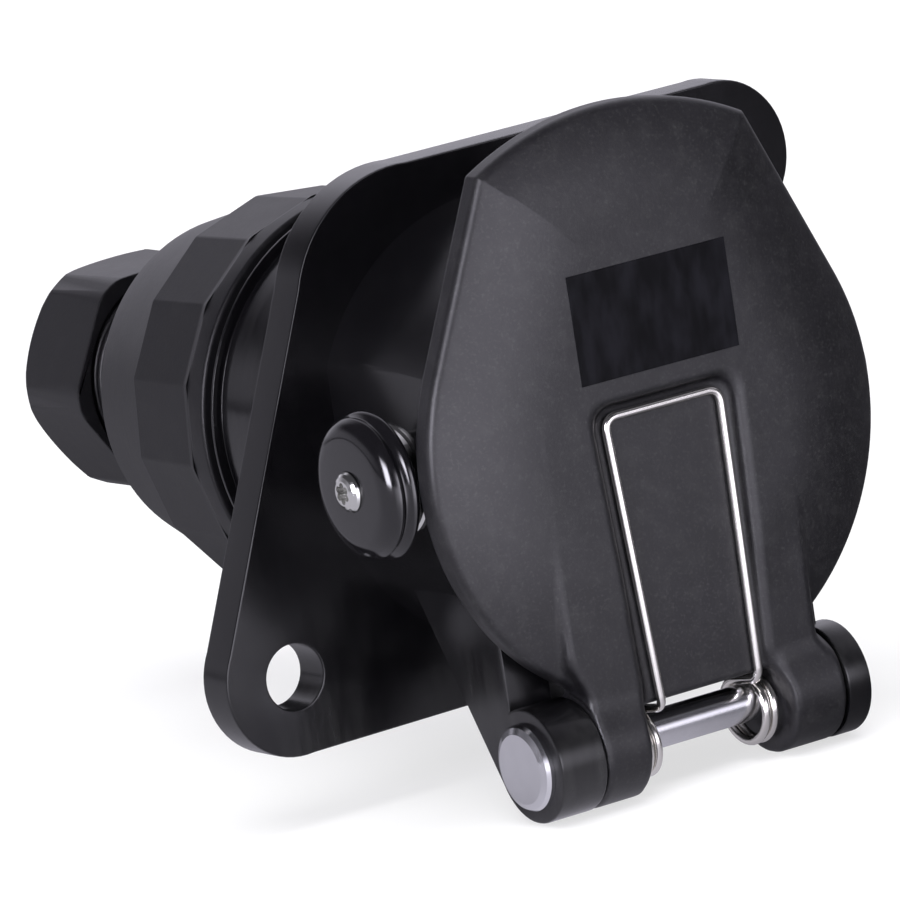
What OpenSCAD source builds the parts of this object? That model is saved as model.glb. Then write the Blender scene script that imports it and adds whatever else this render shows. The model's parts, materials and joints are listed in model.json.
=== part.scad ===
// Trailer socket: two-hole flange, sprung lid, lock rollers, faceted rear cap and cable gland. Millimetres.
// X runs along the hinge pin, Y back along the socket axis, Z up. The flange's mounting face is Y = 0.

/* [Flange] */
// Thickness of the flange
flange_t = 5.8; // [4:0.1:9]
// Pitch circle of the two fixing holes
hole_pcd = 92.2; // [88:0.1:110]
// Angle of the hole diagonal above the hinge line
hole_angle = 33.7; // [25:0.1:45]
// Diameter of a fixing hole
hole_d = 8.5; // [6:0.1:10.5]
// Radius of the rounded end about each hole
lobe_r = 10.3; // [9:0.1:14]
// Radius of the two corners without a hole
plain_r = 18; // [14:0.1:22]
// Distance of a plain corner's middle beside the axis
plain_x = 12; // [9:0.1:15]
// Distance of a plain corner's middle above or below the axis
plain_z = 17.5; // [15:0.1:19]

/* [Collar and neck] */
// Outside radius of the collar
collar_r = 29.4; // [28:0.1:31]
// Length of the collar in front of the flange
collar_len = 29; // [27:0.1:34]
// Radius of the opening that the plug enters
bore_r = 23.6; // [22.5:0.1:24.4]
// Distance of the roller flats from the axis
flat_x = 26.8; // [26:0.1:28]
// Radius of the smooth neck behind the flange
neck_r = 26.2; // [25.5:0.1:26.8]
// Length of the smooth neck
neck_len = 24.3; // [20:0.1:30]
// Radius of the thin ring at the end of the neck
ring_r = 27.3; // [26.9:0.1:27.6]
// Width of the thin ring
ring_w = 0.8; // [0.6:0.1:1.4]
// Width of the groove beside the ring
groove_w = 0.8; // [0.6:0.1:2]
// Depth of the groove below the neck
groove_d = 0.3; // [0.2:0.1:1]
// Radius over the rear thread
thread_r = 23.4; // [23:0.1:24]
// Length of the rear thread
thread_len = 14; // [10:0.5:15]
// Wall between the rear thread and the bore inside it
thread_wall = 2.2; // [1.6:0.1:2.6]
// Width of the key rib in the opening
key_w = 3.4; // [2.6:0.1:4.2]
// Height of the key rib
key_h = 1.7; // [1:0.1:2.2]
// Distance of the key rib behind the rim
key_back = 3; // [2:0.1:6]

/* [Hinge] */
// Diameter of the hinge pin
pin_d = 5; // [4:0.1:5.4]
// Radius of the ears and knuckles about the pin
barrel_r = 7.4; // [6.8:0.1:8.5]
// Half the width over both ears
ear_half = 24.2; // [23:0.1:26]
// Thickness of the ear beside the pin head
ear_left_t = 6.8; // [5.5:0.1:8]
// Thickness of the far ear
ear_right_t = 3.6; // [3:0.1:5]
// Gap between the collar's underside and the barrels
hinge_gap = 1; // [0.8:0.1:2.5]
// Distance of the pin in front of the collar rim
hinge_ahead = 0.3; // [0.2:0.1:1]
// Distance of the ears' front face behind the collar rim
ear_back = 2.6; // [1.5:0.1:4]
// Angle of the ears' rear edge
ear_slope = 30.6; // [26:0.1:34]
// Width of the gusset inside each ear
gusset_w = 10.5; // [8:0.1:10.8]
// Depth of the gussets below the collar
gusset_drop = 4.6; // [3:0.1:5]
// Thickness of the gussets
gusset_t = 4; // [3:0.1:6]
// Distance of the gussets behind the pin
gusset_back = 10; // [9:0.1:12]
// Distance of the ears' root below the axis
ear_root = 13.2; // [11:0.1:15]
// Width of the left knuckle
knuckle_left = 7.6; // [6.6:0.1:8]
// Width of the right knuckle
knuckle_right = 8.6; // [7.6:0.1:9]
// Radius of the pin head
head_r = 5.6; // [4.5:0.1:6.5]
// Thickness of the pin head
head_t = 1.5; // [1:0.1:2.5]
// Rounding of the knuckles' ends
knuckle_edge = 1; // [0.6:0.1:1.6]

/* [Lid] */
// Radius of the lid's round part
lid_r = 34; // [33.5:0.1:36]
// Height of the lid's top edge above the axis
lid_top = 42.2; // [41:0.1:47]
// Half the width of the lid at its top corners
corner_x = 20.5; // [17:0.1:24]
// Height of the top corners above the axis
corner_z = 37; // [35:0.1:39]
// Rise of the plateau above the rim
lid_rise = 3.5; // [3:0.1:5]
// Width of the slope from rim to plateau
slope_w = 10; // [8:0.1:12]
// Radius of the blend between slope and plateau
blend_r = 24; // [12:1:26]
// Distance of the lid rim's edge in front of the collar rim
rim_ahead = 3; // [2.6:0.1:4]
// Depth of the skirt behind the rim's edge
skirt_len = 3.2; // [2.8:0.1:3.3]
// Wall of the skirt
skirt_wall = 2.2; // [1.6:0.1:3]
// Rounding of the rim's front edge
rim_edge = 0.8; // [0.4:0.1:1.2]
// Gap between the collar rim and the lid's roof
roof_gap = 1.4; // [1.2:0.1:1.8]
// Half the width over the two arms
arm_half = 19.3; // [18:0.1:19.8]
// Rounding of the arms' front edges
arm_edge = 1.6; // [0.8:0.1:2.2]
// Depth of the bay for the bail
bay_depth = 1.7; // [1.4:0.1:2.2]
// Half the width of the bay at its top
bay_half = 10.8; // [10.2:0.1:12]
// Height of the bay's top edge above the axis
bay_top = 5.4; // [5:0.1:9]
// Rounding of the bay's top corners
bay_corner = 2.5; // [1.5:0.1:3.5]

/* [Lid spring] */
// Wire diameter
wire_d = 1.15; // [0.95:0.05:1.2]
// Radius of the coils at the wire's middle
coil_r = 4.1; // [3.7:0.1:4.6]
// Turns in each coil
coil_turns = 2; // [1:1:2]
// Gap between two turns
coil_gap = 0.15; // [0.05:0.05:0.3]
// Room between the coils and the lid's lower edge
coil_room = 0.8; // [0.7:0.1:2]
// Fall of a leg from its foot to the pin
leg_fall = 0.6; // [0:0.1:0.6]
// Length of the tails behind the pin
tail_back = 3.5; // [2:0.1:4]
// Room between the bail and the bay's top edge
bail_room = 1.5; // [1:0.1:2]
// Room between the bail's upper bends and the bay's sides
bend_room = 1.9; // [1.4:0.1:2.4]
// Room between the left leg's foot and the bay's side
left_room = 1.3; // [1:0.1:2]
// Room between the right leg's foot and the bay's side
right_room = 1; // [0.7:0.1:1.5]

/* [Lock rollers] */
// Distance of the roller axis in front of the flange
roller_back = 18.9; // [17:0.1:19.5]
// Largest radius of a roller
roller_r = 9.6; // [8.5:0.1:9.8]
// Distance of a roller's outer face from the axis
roller_face = 37.8; // [37:0.1:41]
// Width of a roller
roller_w = 4.5; // [4.3:0.1:5.2]
// Radius of the polished bush behind a roller
bush_r = 6.9; // [6.2:0.1:7.5]
// Width of the bush's head behind a roller
bush_w = 3; // [2.4:0.1:3.6]
// Radius of the bush's neck between its head and the collar
bush_neck = 5.4; // [4.6:0.1:6]
// Diameter of a roller's screw
screw_d = 3; // [2.6:0.1:3.2]
// Radius of a roller screw's head
screw_head = 2.6; // [2.4:0.1:3.2]
// Height of a roller screw's head over the roller's face
screw_rise = 1.1; // [0.6:0.1:1.4]
// Depth of the six-lobed recess in a roller screw
recess_d = 1.5; // [1:0.1:1.8]
// Radius of the journal that carries a roller
journal_r = 4; // [3.4:0.1:4.6]
// Radius of the bush's peg in the collar wall
peg_r = 3.2; // [2.6:0.1:3.6]
// Radius of the rounded end of a roller flat
pocket_r = 12.7; // [11.5:0.1:13.5]

/* [Rear cap] */
// Gap between the neck and the cap
cap_gap = 0.8; // [0.6:0.1:1.6]
// Radius of the cap's round front rim
cap_r = 27.9; // [27.5:0.1:30]
// Length from the front rim to the end of the flats
grip_len = 18.6; // [16:0.1:24]
// Number of flats
flats = 16; // [12:2:20]
// Distance of a flat from the axis at its rear end
flat_r = 26.7; // [26.2:0.1:26.9]
// Rise of a flat towards the front
flat_rise = 0.45; // [0.2:0.05:0.6]
// Step from a flat's middle down to the tail
flat_step = 0.6; // [0.3:0.1:0.9]
// Turn of the flats from the upright
flat_turn = 7; // [0:0.5:11]
// Length of a flat
flat_len = 14; // [11:0.1:15]
// Length of the ramp from a flat up to the rim
ramp_len = 2.2; // [1.2:0.1:3]
// Length of the tapered tail behind the flats
tail_len = 17.1; // [16:0.1:22]
// Radius at the end of the tail
tail_r = 22.1; // [21.5:0.1:23]
// Wall of the tail
tail_wall = 2.7; // [2:0.1:3.4]
// Radius of the boss behind the tail
boss_r = 15; // [14.4:0.1:16]
// Length of the boss
boss_len = 9; // [8:0.1:10]

/* [Cable gland] */
// Radius over the gland thread
spigot_r = 12.9; // [12:0.1:13.2]
// Gap between the cap's tail and the gland nut
nut_gap = 15.4; // [12:0.1:18]
// Length of the gland nut
nut_len = 17; // [16.5:0.1:20]
// Width across the gland nut's flats
nut_af = 30; // [29.8:0.1:34]
// Width across the gland nut's cut corners
nut_ac = 32.7; // [32.2:0.1:36]
// Turn of the gland nut's flats from the upright
nut_turn = 33; // [0:1:59]
// Radius of the round rear edge of the gland nut
nut_dome = 6; // [4:0.1:7]
// Depth of the gland nut's wide mouth
nut_mouth = 3; // [2:0.1:3.6]
// Diameter of the cable hole in the grommet
cable_d = 12; // [9:0.1:14]
// Depth of the slip ring inside the gland nut
slip_depth = 12.2; // [11:0.1:14]
// Thickness of the slip ring
slip_t = 1.15; // [0.8:0.05:1.6]
// Thickness of the grommet's flange on the spigot's end
lip_t = 1.9; // [1.4:0.1:2.4]
// Radius of the bore that holds the grommet
grommet_r = 9.8; // [9:0.1:10.4]

/* [Contacts] */
// Radius of the circle that the outer contacts stand on
pin_circle = 13.5; // [12.5:0.1:14]
// Diameter of a small contact
small_d = 3.6; // [3:0.1:4]
// Diameter of a large contact
large_d = 6; // [5:0.1:6.4]
// Length of the contacts in front of the insert
pin_len = 17; // [12:0.1:20]
// Depth of the insert's face behind the flange front
insert_back = 3; // [2.8:0.1:5]
// Length of the insert's head, from its face to its seat
head_len = 12; // [10:0.1:14]
// Length of the insert's stem behind its seat
stem_len = 27; // [22:0.1:28]
// Length of the contacts behind the stem
lug_len = 9; // [8:0.1:11]
// Depth of the contacts' shoulders behind the insert's face
shoulder = 4.8; // [3.6:0.1:6]
// Thickness of the insert's retainer
retainer_t = 2.8; // [2:0.1:3.2]

/* [Fits] */
// Radial clearance of a turning fit
run_c = 0.05; // [0.02:0.01:0.09]
// Radial clearance of a fixed fit
fix_c = 0.02; // [0.01:0.01:0.03]
// End play beside a turning piece
play = 0.1; // [0.06:0.01:0.14]

/* [Hidden] */
$fn = 72;
black = [0.13, 0.13, 0.14];
rubber = [0.07, 0.07, 0.07];
steel = [0.78, 0.79, 0.8];
brass = [0.8, 0.66, 0.34];
pin_r = pin_d / 2;
wire_r = wire_d / 2;
screw_r = screw_d / 2;
// Straight sides end at this share of a radius from a round's middle, so that they cut it
touch = 0.994;
// How far a cut runs past the face that it opens
over = 1;
// A length beyond the whole part, for cuts that run right through
far = 200;
// A small chamfer, and the lead of a thread
edge = 0.3;
lead = 0.8;
// Stations along Y
rim_y = -(flange_t + collar_len);
hinge_y = rim_y - hinge_ahead;
hinge_z = -(collar_r + hinge_gap + barrel_r);
lid_rim_y = rim_y - rim_ahead;
lid_face_y = lid_rim_y - lid_rise;
lid_roof_y = rim_y - roof_gap;
skirt_y = lid_rim_y + skirt_len;
bay_y = lid_face_y + bay_depth;
roller_y = -(flange_t + roller_back);
insert_y = insert_back - flange_t;
seat_y = insert_y + head_len;
stem_y = seat_y + stem_len;
lug_y = stem_y + lug_len;
cap_y = neck_len + cap_gap;
grip_y = cap_y + grip_len;
tail_y = grip_y + tail_len;
nut_y = tail_y + nut_gap;
nut_end = nut_y + nut_len;
slip_y = nut_y + slip_depth;
spigot_y = slip_y - lip_t;
// Stations along X
ear_in_left = -(ear_half - ear_left_t);
ear_in_right = ear_half - ear_right_t;
knuckle_l0 = ear_in_left + play;
knuckle_l1 = knuckle_l0 + knuckle_left;
knuckle_r1 = ear_in_right - play;
knuckle_r0 = knuckle_r1 - knuckle_right;
coil_pitch = wire_d + coil_gap;
coil_l = knuckle_l1 + wire_r + run_c;
coil_r0 = knuckle_r0 - wire_r - run_c;
leg_l = coil_l + coil_turns * coil_pitch;
leg_r = coil_r0 - coil_turns * coil_pitch;
// Radius of the bore inside the rear thread, and of the insert's stem in it
rear_bore_r = thread_r - thread_wall;
stem_r = rear_bore_r - 0.2;
// The coils hang on the pin: the level of their middle, and of the lid's lower edge above them
coil_z = hinge_z - (coil_r - wire_r - pin_r - play);
lid_low = coil_z + coil_r + wire_r + coil_room;
// The seal's groove in the lid
seal_in = bore_r + 0.4;
seal_out = flat_x - 0.2;
seal_y = lid_roof_y - 0.8;
// A roller's rear face, the rear face of its web and the bush's ring
roller_in = roller_face - roller_w;
web_x = roller_face - 2;
seat_x = roller_face - 1.2;
bush_x = roller_in - bush_w;
// Radius of the cable's way through the slip ring and the gland nut
cable_r = cable_d / 2;
// Where the terminal screws stand
terminal_y = lug_y - 4;
terminal_r = 1.2;
// The tangent sides and the top arc of the lid
side_a = atan2(corner_z, corner_x) - acos(lid_r / norm([corner_x, corner_z]));
top_s = lid_top - corner_z;
top_r = (corner_x * corner_x + top_s * top_s) / (2 * top_s);
top_cz = lid_top - top_r;
// The lid's slope and its blend, as width inward and height
slope_a = atan(lid_rise / slope_w);
blend_t = blend_r * tan(slope_a / 2);
blend_end = slope_w + blend_t;
blend_start = slope_w - blend_t * cos(slope_a);
lid_curve = [for (i = [0:8]) let (u = blend_start + (blend_end - blend_start) * i / 8)
    [u, lid_rise - blend_r + sqrt(blend_r * blend_r - (blend_end - u) * (blend_end - u))]];
// Contact places: radius, angle, pin radius
places = [[pin_circle, -60, large_d / 2], [pin_circle, -120, large_d / 2], [pin_circle, 0, small_d / 2],
    [pin_circle, 60, small_d / 2], [pin_circle, 120, small_d / 2], [pin_circle, 180, small_d / 2],
    [0, 90, small_d / 2]];

// A flat shape in X and Z, thick from y0 to y1
module plate(y0, y1) translate([0, y1, 0]) rotate([90, 0, 0]) linear_extrude(y1 - y0) children();
// A flat shape in Y and Z, thick from x0 to x1
module side(x0, x1) translate([x0, 0, 0]) rotate([90, 0, 90]) linear_extrude(x1 - x0) children();
// A profile of radius and Y, turned about the socket axis
module turned(points) rotate([-90, 0, 0]) rotate_extrude() polygon(points);
// A profile of radius and X, turned about a line along X
module turned_x(points) rotate([0, 90, 0]) rotate_extrude() polygon(points);
module rod_x(x0, x1, r) translate([x0, 0, 0]) rotate([0, 90, 0]) cylinder(h = x1 - x0, r = r);
module rod_y(y0, y1, r) translate([0, y0, 0]) rotate([-90, 0, 0]) cylinder(h = y1 - y0, r = r);
module box(a, b) translate(a) cube(b - a);
module at_hinge() translate([0, hinge_y, hinge_z]) children();

// The flange outline: a round about each hole, two plain corners and the straight sides between them
module flange_outline() {
    hole = hole_pcd / 2 * [cos(hole_angle), sin(hole_angle)];
    plain = [-plain_x, plain_z];
    rounds = [[-hole, lobe_r], [-plain, plain_r], [hole, lobe_r], [plain, plain_r]];
    for (r = rounds) translate(r[0]) circle(r[1]);
    polygon([for (i = [0:3]) let (a = rounds[i], b = rounds[(i + 1) % 4], d = b[0] - a[0],
        t = atan2(d[1], d[0]) - acos((a[1] - b[1]) / norm(d)))
        each [a[0] + touch * a[1] * [cos(t), sin(t)], b[0] + touch * b[1] * [cos(t), sin(t)]]]);
}

// One ear in Y and Z: barrel, sloping rear edge and upright front
module ear_shape() {
    a = -ear_slope;
    foot = [hinge_y, hinge_z] + touch * barrel_r * [cos(a), sin(a)];
    rise = (-ear_root - foot[1]) / cos(a);
    translate([hinge_y, hinge_z]) circle(barrel_r);
    polygon([foot, foot + rise * [-sin(a), cos(a)], [rim_y + ear_back, -ear_root],
        [rim_y + ear_back, hinge_z]]);
}

// The slot with a round front end that leaves a flat for a roller on the collar's right side
module roller_flat() {
    box([flat_x, roller_y, -collar_r], [collar_r + over, -flange_t, collar_r]);
    translate([0, roller_y, 0]) rod_x(flat_x, collar_r + over, pocket_r);
}

// A wall under the collar from x0 to x1, beside an ear
module gusset(x0, x1) let (y = hinge_y + gusset_back)
    box([x0, y, -collar_r - gusset_drop], [x1, y + gusset_t, -bore_r]);

module housing() color(black) difference() {
    union() {
        plate(-flange_t, 0) flange_outline();
        difference() {
            rod_y(rim_y, -flange_t / 2, collar_r);
            for (s = [0, 1]) mirror([s, 0, 0]) roller_flat();
        }
        side(-ear_half, ear_in_left) ear_shape();
        side(ear_in_right, ear_half) ear_shape();
        gusset(ear_in_left - over, ear_in_left + gusset_w);
        gusset(ear_in_right - gusset_w, ear_in_right + over);
        neck();
    }
    for (s = [0, 180]) rotate([0, s - hole_angle, 0]) translate([hole_pcd / 2, 0, 0])
        rod_y(-flange_t - over, over, hole_d / 2);
    difference() {
        turned([[0, rim_y - over], [bore_r + 2 * lead, rim_y - over], [bore_r, rim_y + 2 * edge],
            [bore_r, seat_y], [rear_bore_r, seat_y], [rear_bore_r, neck_len + thread_len + over],
            [0, neck_len + thread_len + over]]);
        box([-key_w / 2, rim_y + key_back, bore_r - key_h],
            [key_w / 2, insert_y - retainer_t - 0.4, bore_r + over]);
    }
    at_hinge() rod_x(-ear_half - over, ear_half + over, pin_r + fix_c);
    for (s = [0, 1]) mirror([s, 0, 0]) translate([0, roller_y, 0])
        rod_x(bore_r - 2 * over, flat_x + over, peg_r + fix_c);
}

// The neck behind the flange, with its groove and thin ring, and the rear thread's cylinder
module neck() {
    ring_y = neck_len - ring_w;
    thread_y = neck_len + thread_len;
    turned([[0, -over], [neck_r + lead, -over], [neck_r + lead, lead], [neck_r, 2 * lead],
        [neck_r, ring_y - groove_w], [neck_r - groove_d, ring_y - groove_w], [neck_r - groove_d, ring_y],
        [ring_r, ring_y], [ring_r, neck_len - edge], [ring_r - edge, neck_len], [thread_r, neck_len],
        [thread_r, thread_y - lead], [thread_r - lead, thread_y], [0, thread_y]]);
}

// A top corner of the lid's outline, moved in by u
function lid_corner(u) = let (q = lid_r - u - top_cz * sin(side_a), r = top_r - u, h = sqrt(r * r - q * q))
    [q * cos(side_a) - h * sin(side_a), top_cz + q * sin(side_a) + h * cos(side_a)];

// The right half of the lid's outline, moved in by u: round part, straight side, half the top arc
function lid_half(u) = let (c = lid_corner(u), t = (lid_r - u) * [cos(side_a), sin(side_a)],
    r = top_r - u, a = atan2(c[1] - top_cz, c[0]))
    concat([for (i = [0:20]) let (b = -90 + (side_a + 90) * i / 20) (lid_r - u) * [cos(b), sin(b)]],
        [for (i = [1:6]) t + (c - t) * i / 6],
        [for (i = [1:7]) let (b = a + (90 - a) * i / 7) [r * cos(b), top_cz + r * sin(b)]]);

// The whole outline as a ring at y
function lid_ring(u, y) = let (h = lid_half(u), n = len(h))
    concat([for (p = h) [p[0], y, p[1]]], [for (i = [n - 2:-1:1]) [-h[i][0], y, h[i][1]]]);

// A solid through rings with the same number of points
module loft(rings) {
    n = len(rings[0]);
    last = len(rings) - 1;
    points = [for (r = rings) for (p = r) p];
    walls = [for (i = [0:last - 1]) for (j = [0:n - 1]) let (k = (j + 1) % n)
        for (f = [[i * n + k, i * n + j, (i + 1) * n + k], [(i + 1) * n + k, i * n + j, (i + 1) * n + j]]) f];
    polyhedron(points, concat(walls, [[for (j = [0:n - 1]) j], [for (j = [n - 1:-1:0]) last * n + j]]));
}

// Roof, skirt, rim, slope and plateau of the lid in one shell
module lid_shell() loft(concat(
    [lid_ring(skirt_wall, lid_roof_y), lid_ring(skirt_wall, skirt_y), lid_ring(0, skirt_y)],
    [for (i = [0:3]) lid_ring(rim_edge * (1 - cos(i * 25)), lid_rim_y + rim_edge * (1 - sin(i * 25)))],
    [lid_ring(rim_edge, lid_rim_y - rim_edge * tan(slope_a))],
    [for (p = lid_curve) lid_ring(p[0], lid_rim_y - p[1])]));

// The arms' section at a height z with its front at y: rounded front corners, square at the roof
function arm_ring(y, z) = let (w = arm_half - arm_edge, c = y + arm_edge)
    concat([for (i = [0:4]) [-w + arm_edge * cos(180 + 22.5 * i), c + arm_edge * sin(180 + 22.5 * i), z]],
        [for (i = [0:4]) [w + arm_edge * cos(270 + 22.5 * i), c + arm_edge * sin(270 + 22.5 * i), z]],
        [[arm_half, lid_roof_y, z], [-arm_half, lid_roof_y, z]]);

// Both arms in one slab, from the barrel's front up to the plateau
module arms() {
    top = [lid_face_y, bay_top + 1];
    away = top - [hinge_y, hinge_z];
    a = atan2(away[1], away[0]) + acos(barrel_r / norm(away));
    foot = [hinge_y, hinge_z] + touch * barrel_r * [cos(a), sin(a)];
    loft([arm_ring(foot[0], foot[1]), arm_ring(top[0], top[1])]);
}

// A knuckle from x0 to x1 with rounded ends
module knuckle(x0, x1) let (r = barrel_r, e = knuckle_edge)
    at_hinge() turned_x([[0, x0], [r - e, x0], [r - 0.3 * e, x0 + 0.3 * e], [r, x0 + e], [r, x1 - e],
        [r - 0.3 * e, x1 - 0.3 * e], [r - e, x1], [0, x1]]);

module bay_shape() {
    c = [bay_half, bay_top] - bay_corner * [1, 1];
    polygon(concat([for (i = [0:6]) c + bay_corner * [cos(i * 15), sin(i * 15)]],
        [for (i = [6:12]) [-c[0], c[1]] + bay_corner * [cos(i * 15), sin(i * 15)]],
        [[leg_l - left_room, hinge_z - 9], [leg_r + right_room, hinge_z - 9]]));
}

module lid() color(black) difference() {
    union() {
        lid_shell();
        arms();
        knuckle(knuckle_l0, knuckle_l1);
        knuckle(knuckle_r0, knuckle_r1);
        box([-bay_half, bay_y, lid_low], [bay_half, lid_roof_y, 0]);
        box([-5, lid_roof_y - over, collar_r + 2], [5, skirt_y, collar_r + 5]);
    }
    plate(lid_face_y - 9, bay_y) bay_shape();
    box([knuckle_l1, -far, -far], [knuckle_r0, far, lid_low]);
    at_hinge() rod_x(-2 * lid_r, knuckle_l0, barrel_r + 0.5);
    at_hinge() rod_x(knuckle_r1, 2 * lid_r, barrel_r + 0.5);
    at_hinge() rod_x(-2 * lid_r, 2 * lid_r, pin_r + run_c);
    turned([[seal_in, seal_y], [seal_out, seal_y], [seal_out, lid_roof_y + over],
        [seal_in, lid_roof_y + over]]);
    rod_y(lid_roof_y - 1.3, lid_roof_y + over, bore_r - 0.8);
}

module lid_seal() color(rubber) let (a = seal_in + fix_c, b = seal_out - fix_c, y = rim_y - run_c)
    turned([[a, seal_y + fix_c], [b, seal_y + fix_c], [b, y - 0.45], [b - 0.5, y], [a + 0.5, y],
        [a, y - 0.45]]);

module hinge_pin() color(steel) at_hinge() let (x0 = -ear_half - head_t, x1 = ear_half + 2.1)
    turned_x([[0, x0], [head_r - 1.1, x0], [head_r - 0.3, x0 + 0.4], [head_r, x0 + 0.9],
        [head_r, -ear_half - fix_c], [pin_r, -ear_half - fix_c], [pin_r, x1 - 0.5], [pin_r - 0.5, x1],
        [0, x1]]);

module pin_clip() color(steel) at_hinge() difference() {
    let (r = pin_r + fix_c, x = ear_half + fix_c)
        turned_x([[r, x], [pin_r + 2.4, x], [pin_r + 2.4, x + 0.4], [pin_r + 1, x + 1.2], [r, x + 1.2]]);
    for (i = [0:2]) rotate([i * 120 + 90, 0, 0])
        box([ear_half - over, -0.5, 0], [ear_half + 3, 0.5, pin_r + 0.9]);
}

// The lid spring's path: one half from the bail's middle to the tail, w is -1 for left and 1 for right
function unit(v) = v / norm(v);
function bend(a, p, b, t) = let (s = p + t * unit(a - p), e = p + t * unit(b - p))
    [for (i = [0:6]) let (k = i / 6) (1 - k) * (1 - k) * s + 2 * k * (1 - k) * p + k * k * e];
function half_path(w) = let (wire_y = bay_y - wire_r - fix_c, crown_z = coil_z + coil_r,
    last = w < 0 ? coil_l : coil_r0, first = w < 0 ? leg_l : leg_r,
    steps = 20 * coil_turns,
    top = [w * (bay_half - bend_room), wire_y, bay_top - bail_room], middle = [0, wire_y, top[2]],
    low = [first, wire_y, crown_z + leg_fall], crown = [first, hinge_y, crown_z],
    end = [last, hinge_y + tail_back, crown_z + 0.4])
    concat([middle], bend(middle, top, low, 2), bend(top, low, crown, 1.6), [crown],
        [for (i = [1:steps]) let (a = 90 - i * 18)
            [first + (last - first) * i / steps, hinge_y + coil_r * cos(a), coil_z + coil_r * sin(a)]],
        [end]);
function back_to_front(v) = [for (i = [len(v) - 1:-1:0]) v[i]];
function tail_of(v) = [for (i = [1:len(v) - 1]) v[i]];

// A round wire swept along a list of points
function across(v, t) = unit(v - (v * t) * t);
function carry(ts, i, n) = i >= len(ts) ? [] : let (m = across(n, ts[i])) concat([m], carry(ts, i + 1, m));
module wire(points, r, sides) {
    last = len(points) - 1;
    ts = [for (i = [0:last]) unit(points[min(i + 1, last)] - points[max(i - 1, 0)])];
    ns = carry(ts, 0, [1, 0, 0.2]);
    rings = [for (i = [0:last]) for (j = [0:sides - 1])
        points[i] + r * (cos(360 * j / sides) * ns[i] + sin(360 * j / sides) * cross(ts[i], ns[i]))];
    walls = [for (i = [0:last - 1]) for (j = [0:sides - 1]) let (k = (j + 1) % sides)
        [i * sides + j, (i + 1) * sides + j, (i + 1) * sides + k, i * sides + k]];
    ends = [[for (j = [0:sides - 1]) j], [for (j = [sides - 1:-1:0]) last * sides + j]];
    polyhedron(rings, concat(walls, ends));
}

module lid_spring() color(steel)
    wire(concat(back_to_front(half_path(-1)), tail_of(half_path(1))), wire_r, 10);

// One roller set on the right side; the left one is mirrored
module mirror_set(s) mirror([s < 0 ? 1 : 0, 0, 0]) translate([0, roller_y, 0]) children();

// From the rear face to the ridge, over the valley and the round front rim to the flat face
module roller(s) color(black) mirror_set(s)
    let (f = roller_face, b = roller_in, r = roller_r, j = journal_r + run_c)
    turned_x([[j, b], [r - 1.5, b], [r - 0.7, b + 0.2], [r - 0.2, b + 0.55], [r, b + 1], [r - 0.1, b + 1.3],
        [r - 0.5, b + 1.6], [r - 0.75, b + 1.85], [r - 0.65, f - 2.35], [r - 0.5, f - 1.9],
        [r - 0.7, f - 1.4], [r - 1.15, f - 0.85], [r - 1.8, f - 0.4], [r - 2.6, f - 0.1], [r - 3.3, f],
        [screw_head + run_c, f], [screw_head + run_c, seat_x], [screw_r + 0.25, seat_x],
        [screw_r + 0.25, web_x], [j, web_x]]);

module bush(s) color(steel) mirror_set(s) let (b = roller_in - play, e = flat_x - 2.9, r = screw_r + fix_c)
    turned_x([[r, e], [peg_r, e], [peg_r, flat_x + fix_c], [bush_neck, flat_x + fix_c], [bush_neck, bush_x],
        [bush_r + edge, bush_x], [bush_r + edge, bush_x + 0.6], [bush_r, bush_x + 0.9], [bush_r, b - 0.4],
        [bush_r - 0.4, b], [journal_r, b], [journal_r, web_x - play], [r, web_x - play]]);

module roller_screw(s) color(steel) mirror_set(s)
    let (f = roller_face, u = seat_x + run_c, h = screw_head, t = f + screw_rise)
    difference() {
        turned_x([[0, flat_x - 2], [screw_r, flat_x - 2], [screw_r, u], [h, u], [h, f + 0.2],
            [0.93 * h, f + 0.5 * screw_rise], [0.8 * h, f + 0.8 * screw_rise], [0.62 * h, t], [0, t]]);
        for (i = [0:5]) rotate([i * 60, 0, 0]) translate([0, 0, 0.95]) rod_x(t - recess_d, t + over, 0.45);
        rod_x(t - recess_d, t + over, touch);
    }

// What is cut away over one flat: the flat and the ramp in front of it
module flat_cut() let (y = grip_y - flat_len, w = cap_r / 3) translate([0, 0, -w]) linear_extrude(2 * w)
    polygon([[flat_r, grip_y + over], [flat_r + flat_rise, y], [cap_r + 0.5, y - ramp_len],
        [cap_r + 0.5, grip_y + over]]);

module rear_cap() color(black) difference() {
    let (boss_y = tail_y + boss_len)
        turned([[0, cap_y], [cap_r - edge, cap_y], [cap_r, cap_y + edge], [cap_r, grip_y],
            [flat_r - flat_step, grip_y], [tail_r + 0.25, tail_y - 1], [tail_r - 0.8, tail_y],
            [boss_r + 1.5, boss_y - 4.4], [boss_r, boss_y - 3], [boss_r, boss_y],
            [spigot_r - 0.5, boss_y + 0.6], [spigot_r, boss_y + 1.2], [spigot_r, spigot_y - lead],
            [spigot_r - lead, spigot_y], [0, spigot_y]]);
    for (i = [0:flats - 1]) rotate([0, (i + 0.5) * 360 / flats - flat_turn, 0]) flat_cut();
    let (r = thread_r + run_c, y = cap_y + thread_len)
        turned([[0, cap_y - over], [r, cap_y - over], [r, y + 0.2], [thread_r - 1, y + 1.2],
            [thread_r - 1, grip_y + 1], [tail_r - tail_wall, tail_y - tail_wall],
            [grommet_r, tail_y - tail_wall], [grommet_r, spigot_y + over], [0, spigot_y + over]]);
}

module cap_seal() color(rubber)
    let (a = thread_r + 0.1, b = thread_r + 2, y0 = neck_len + fix_c, y1 = cap_y - fix_c)
    turned([[a, y0], [b, y0], [b + 0.4, (y0 + y1) / 2], [b, y1], [a, y1]]);

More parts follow.
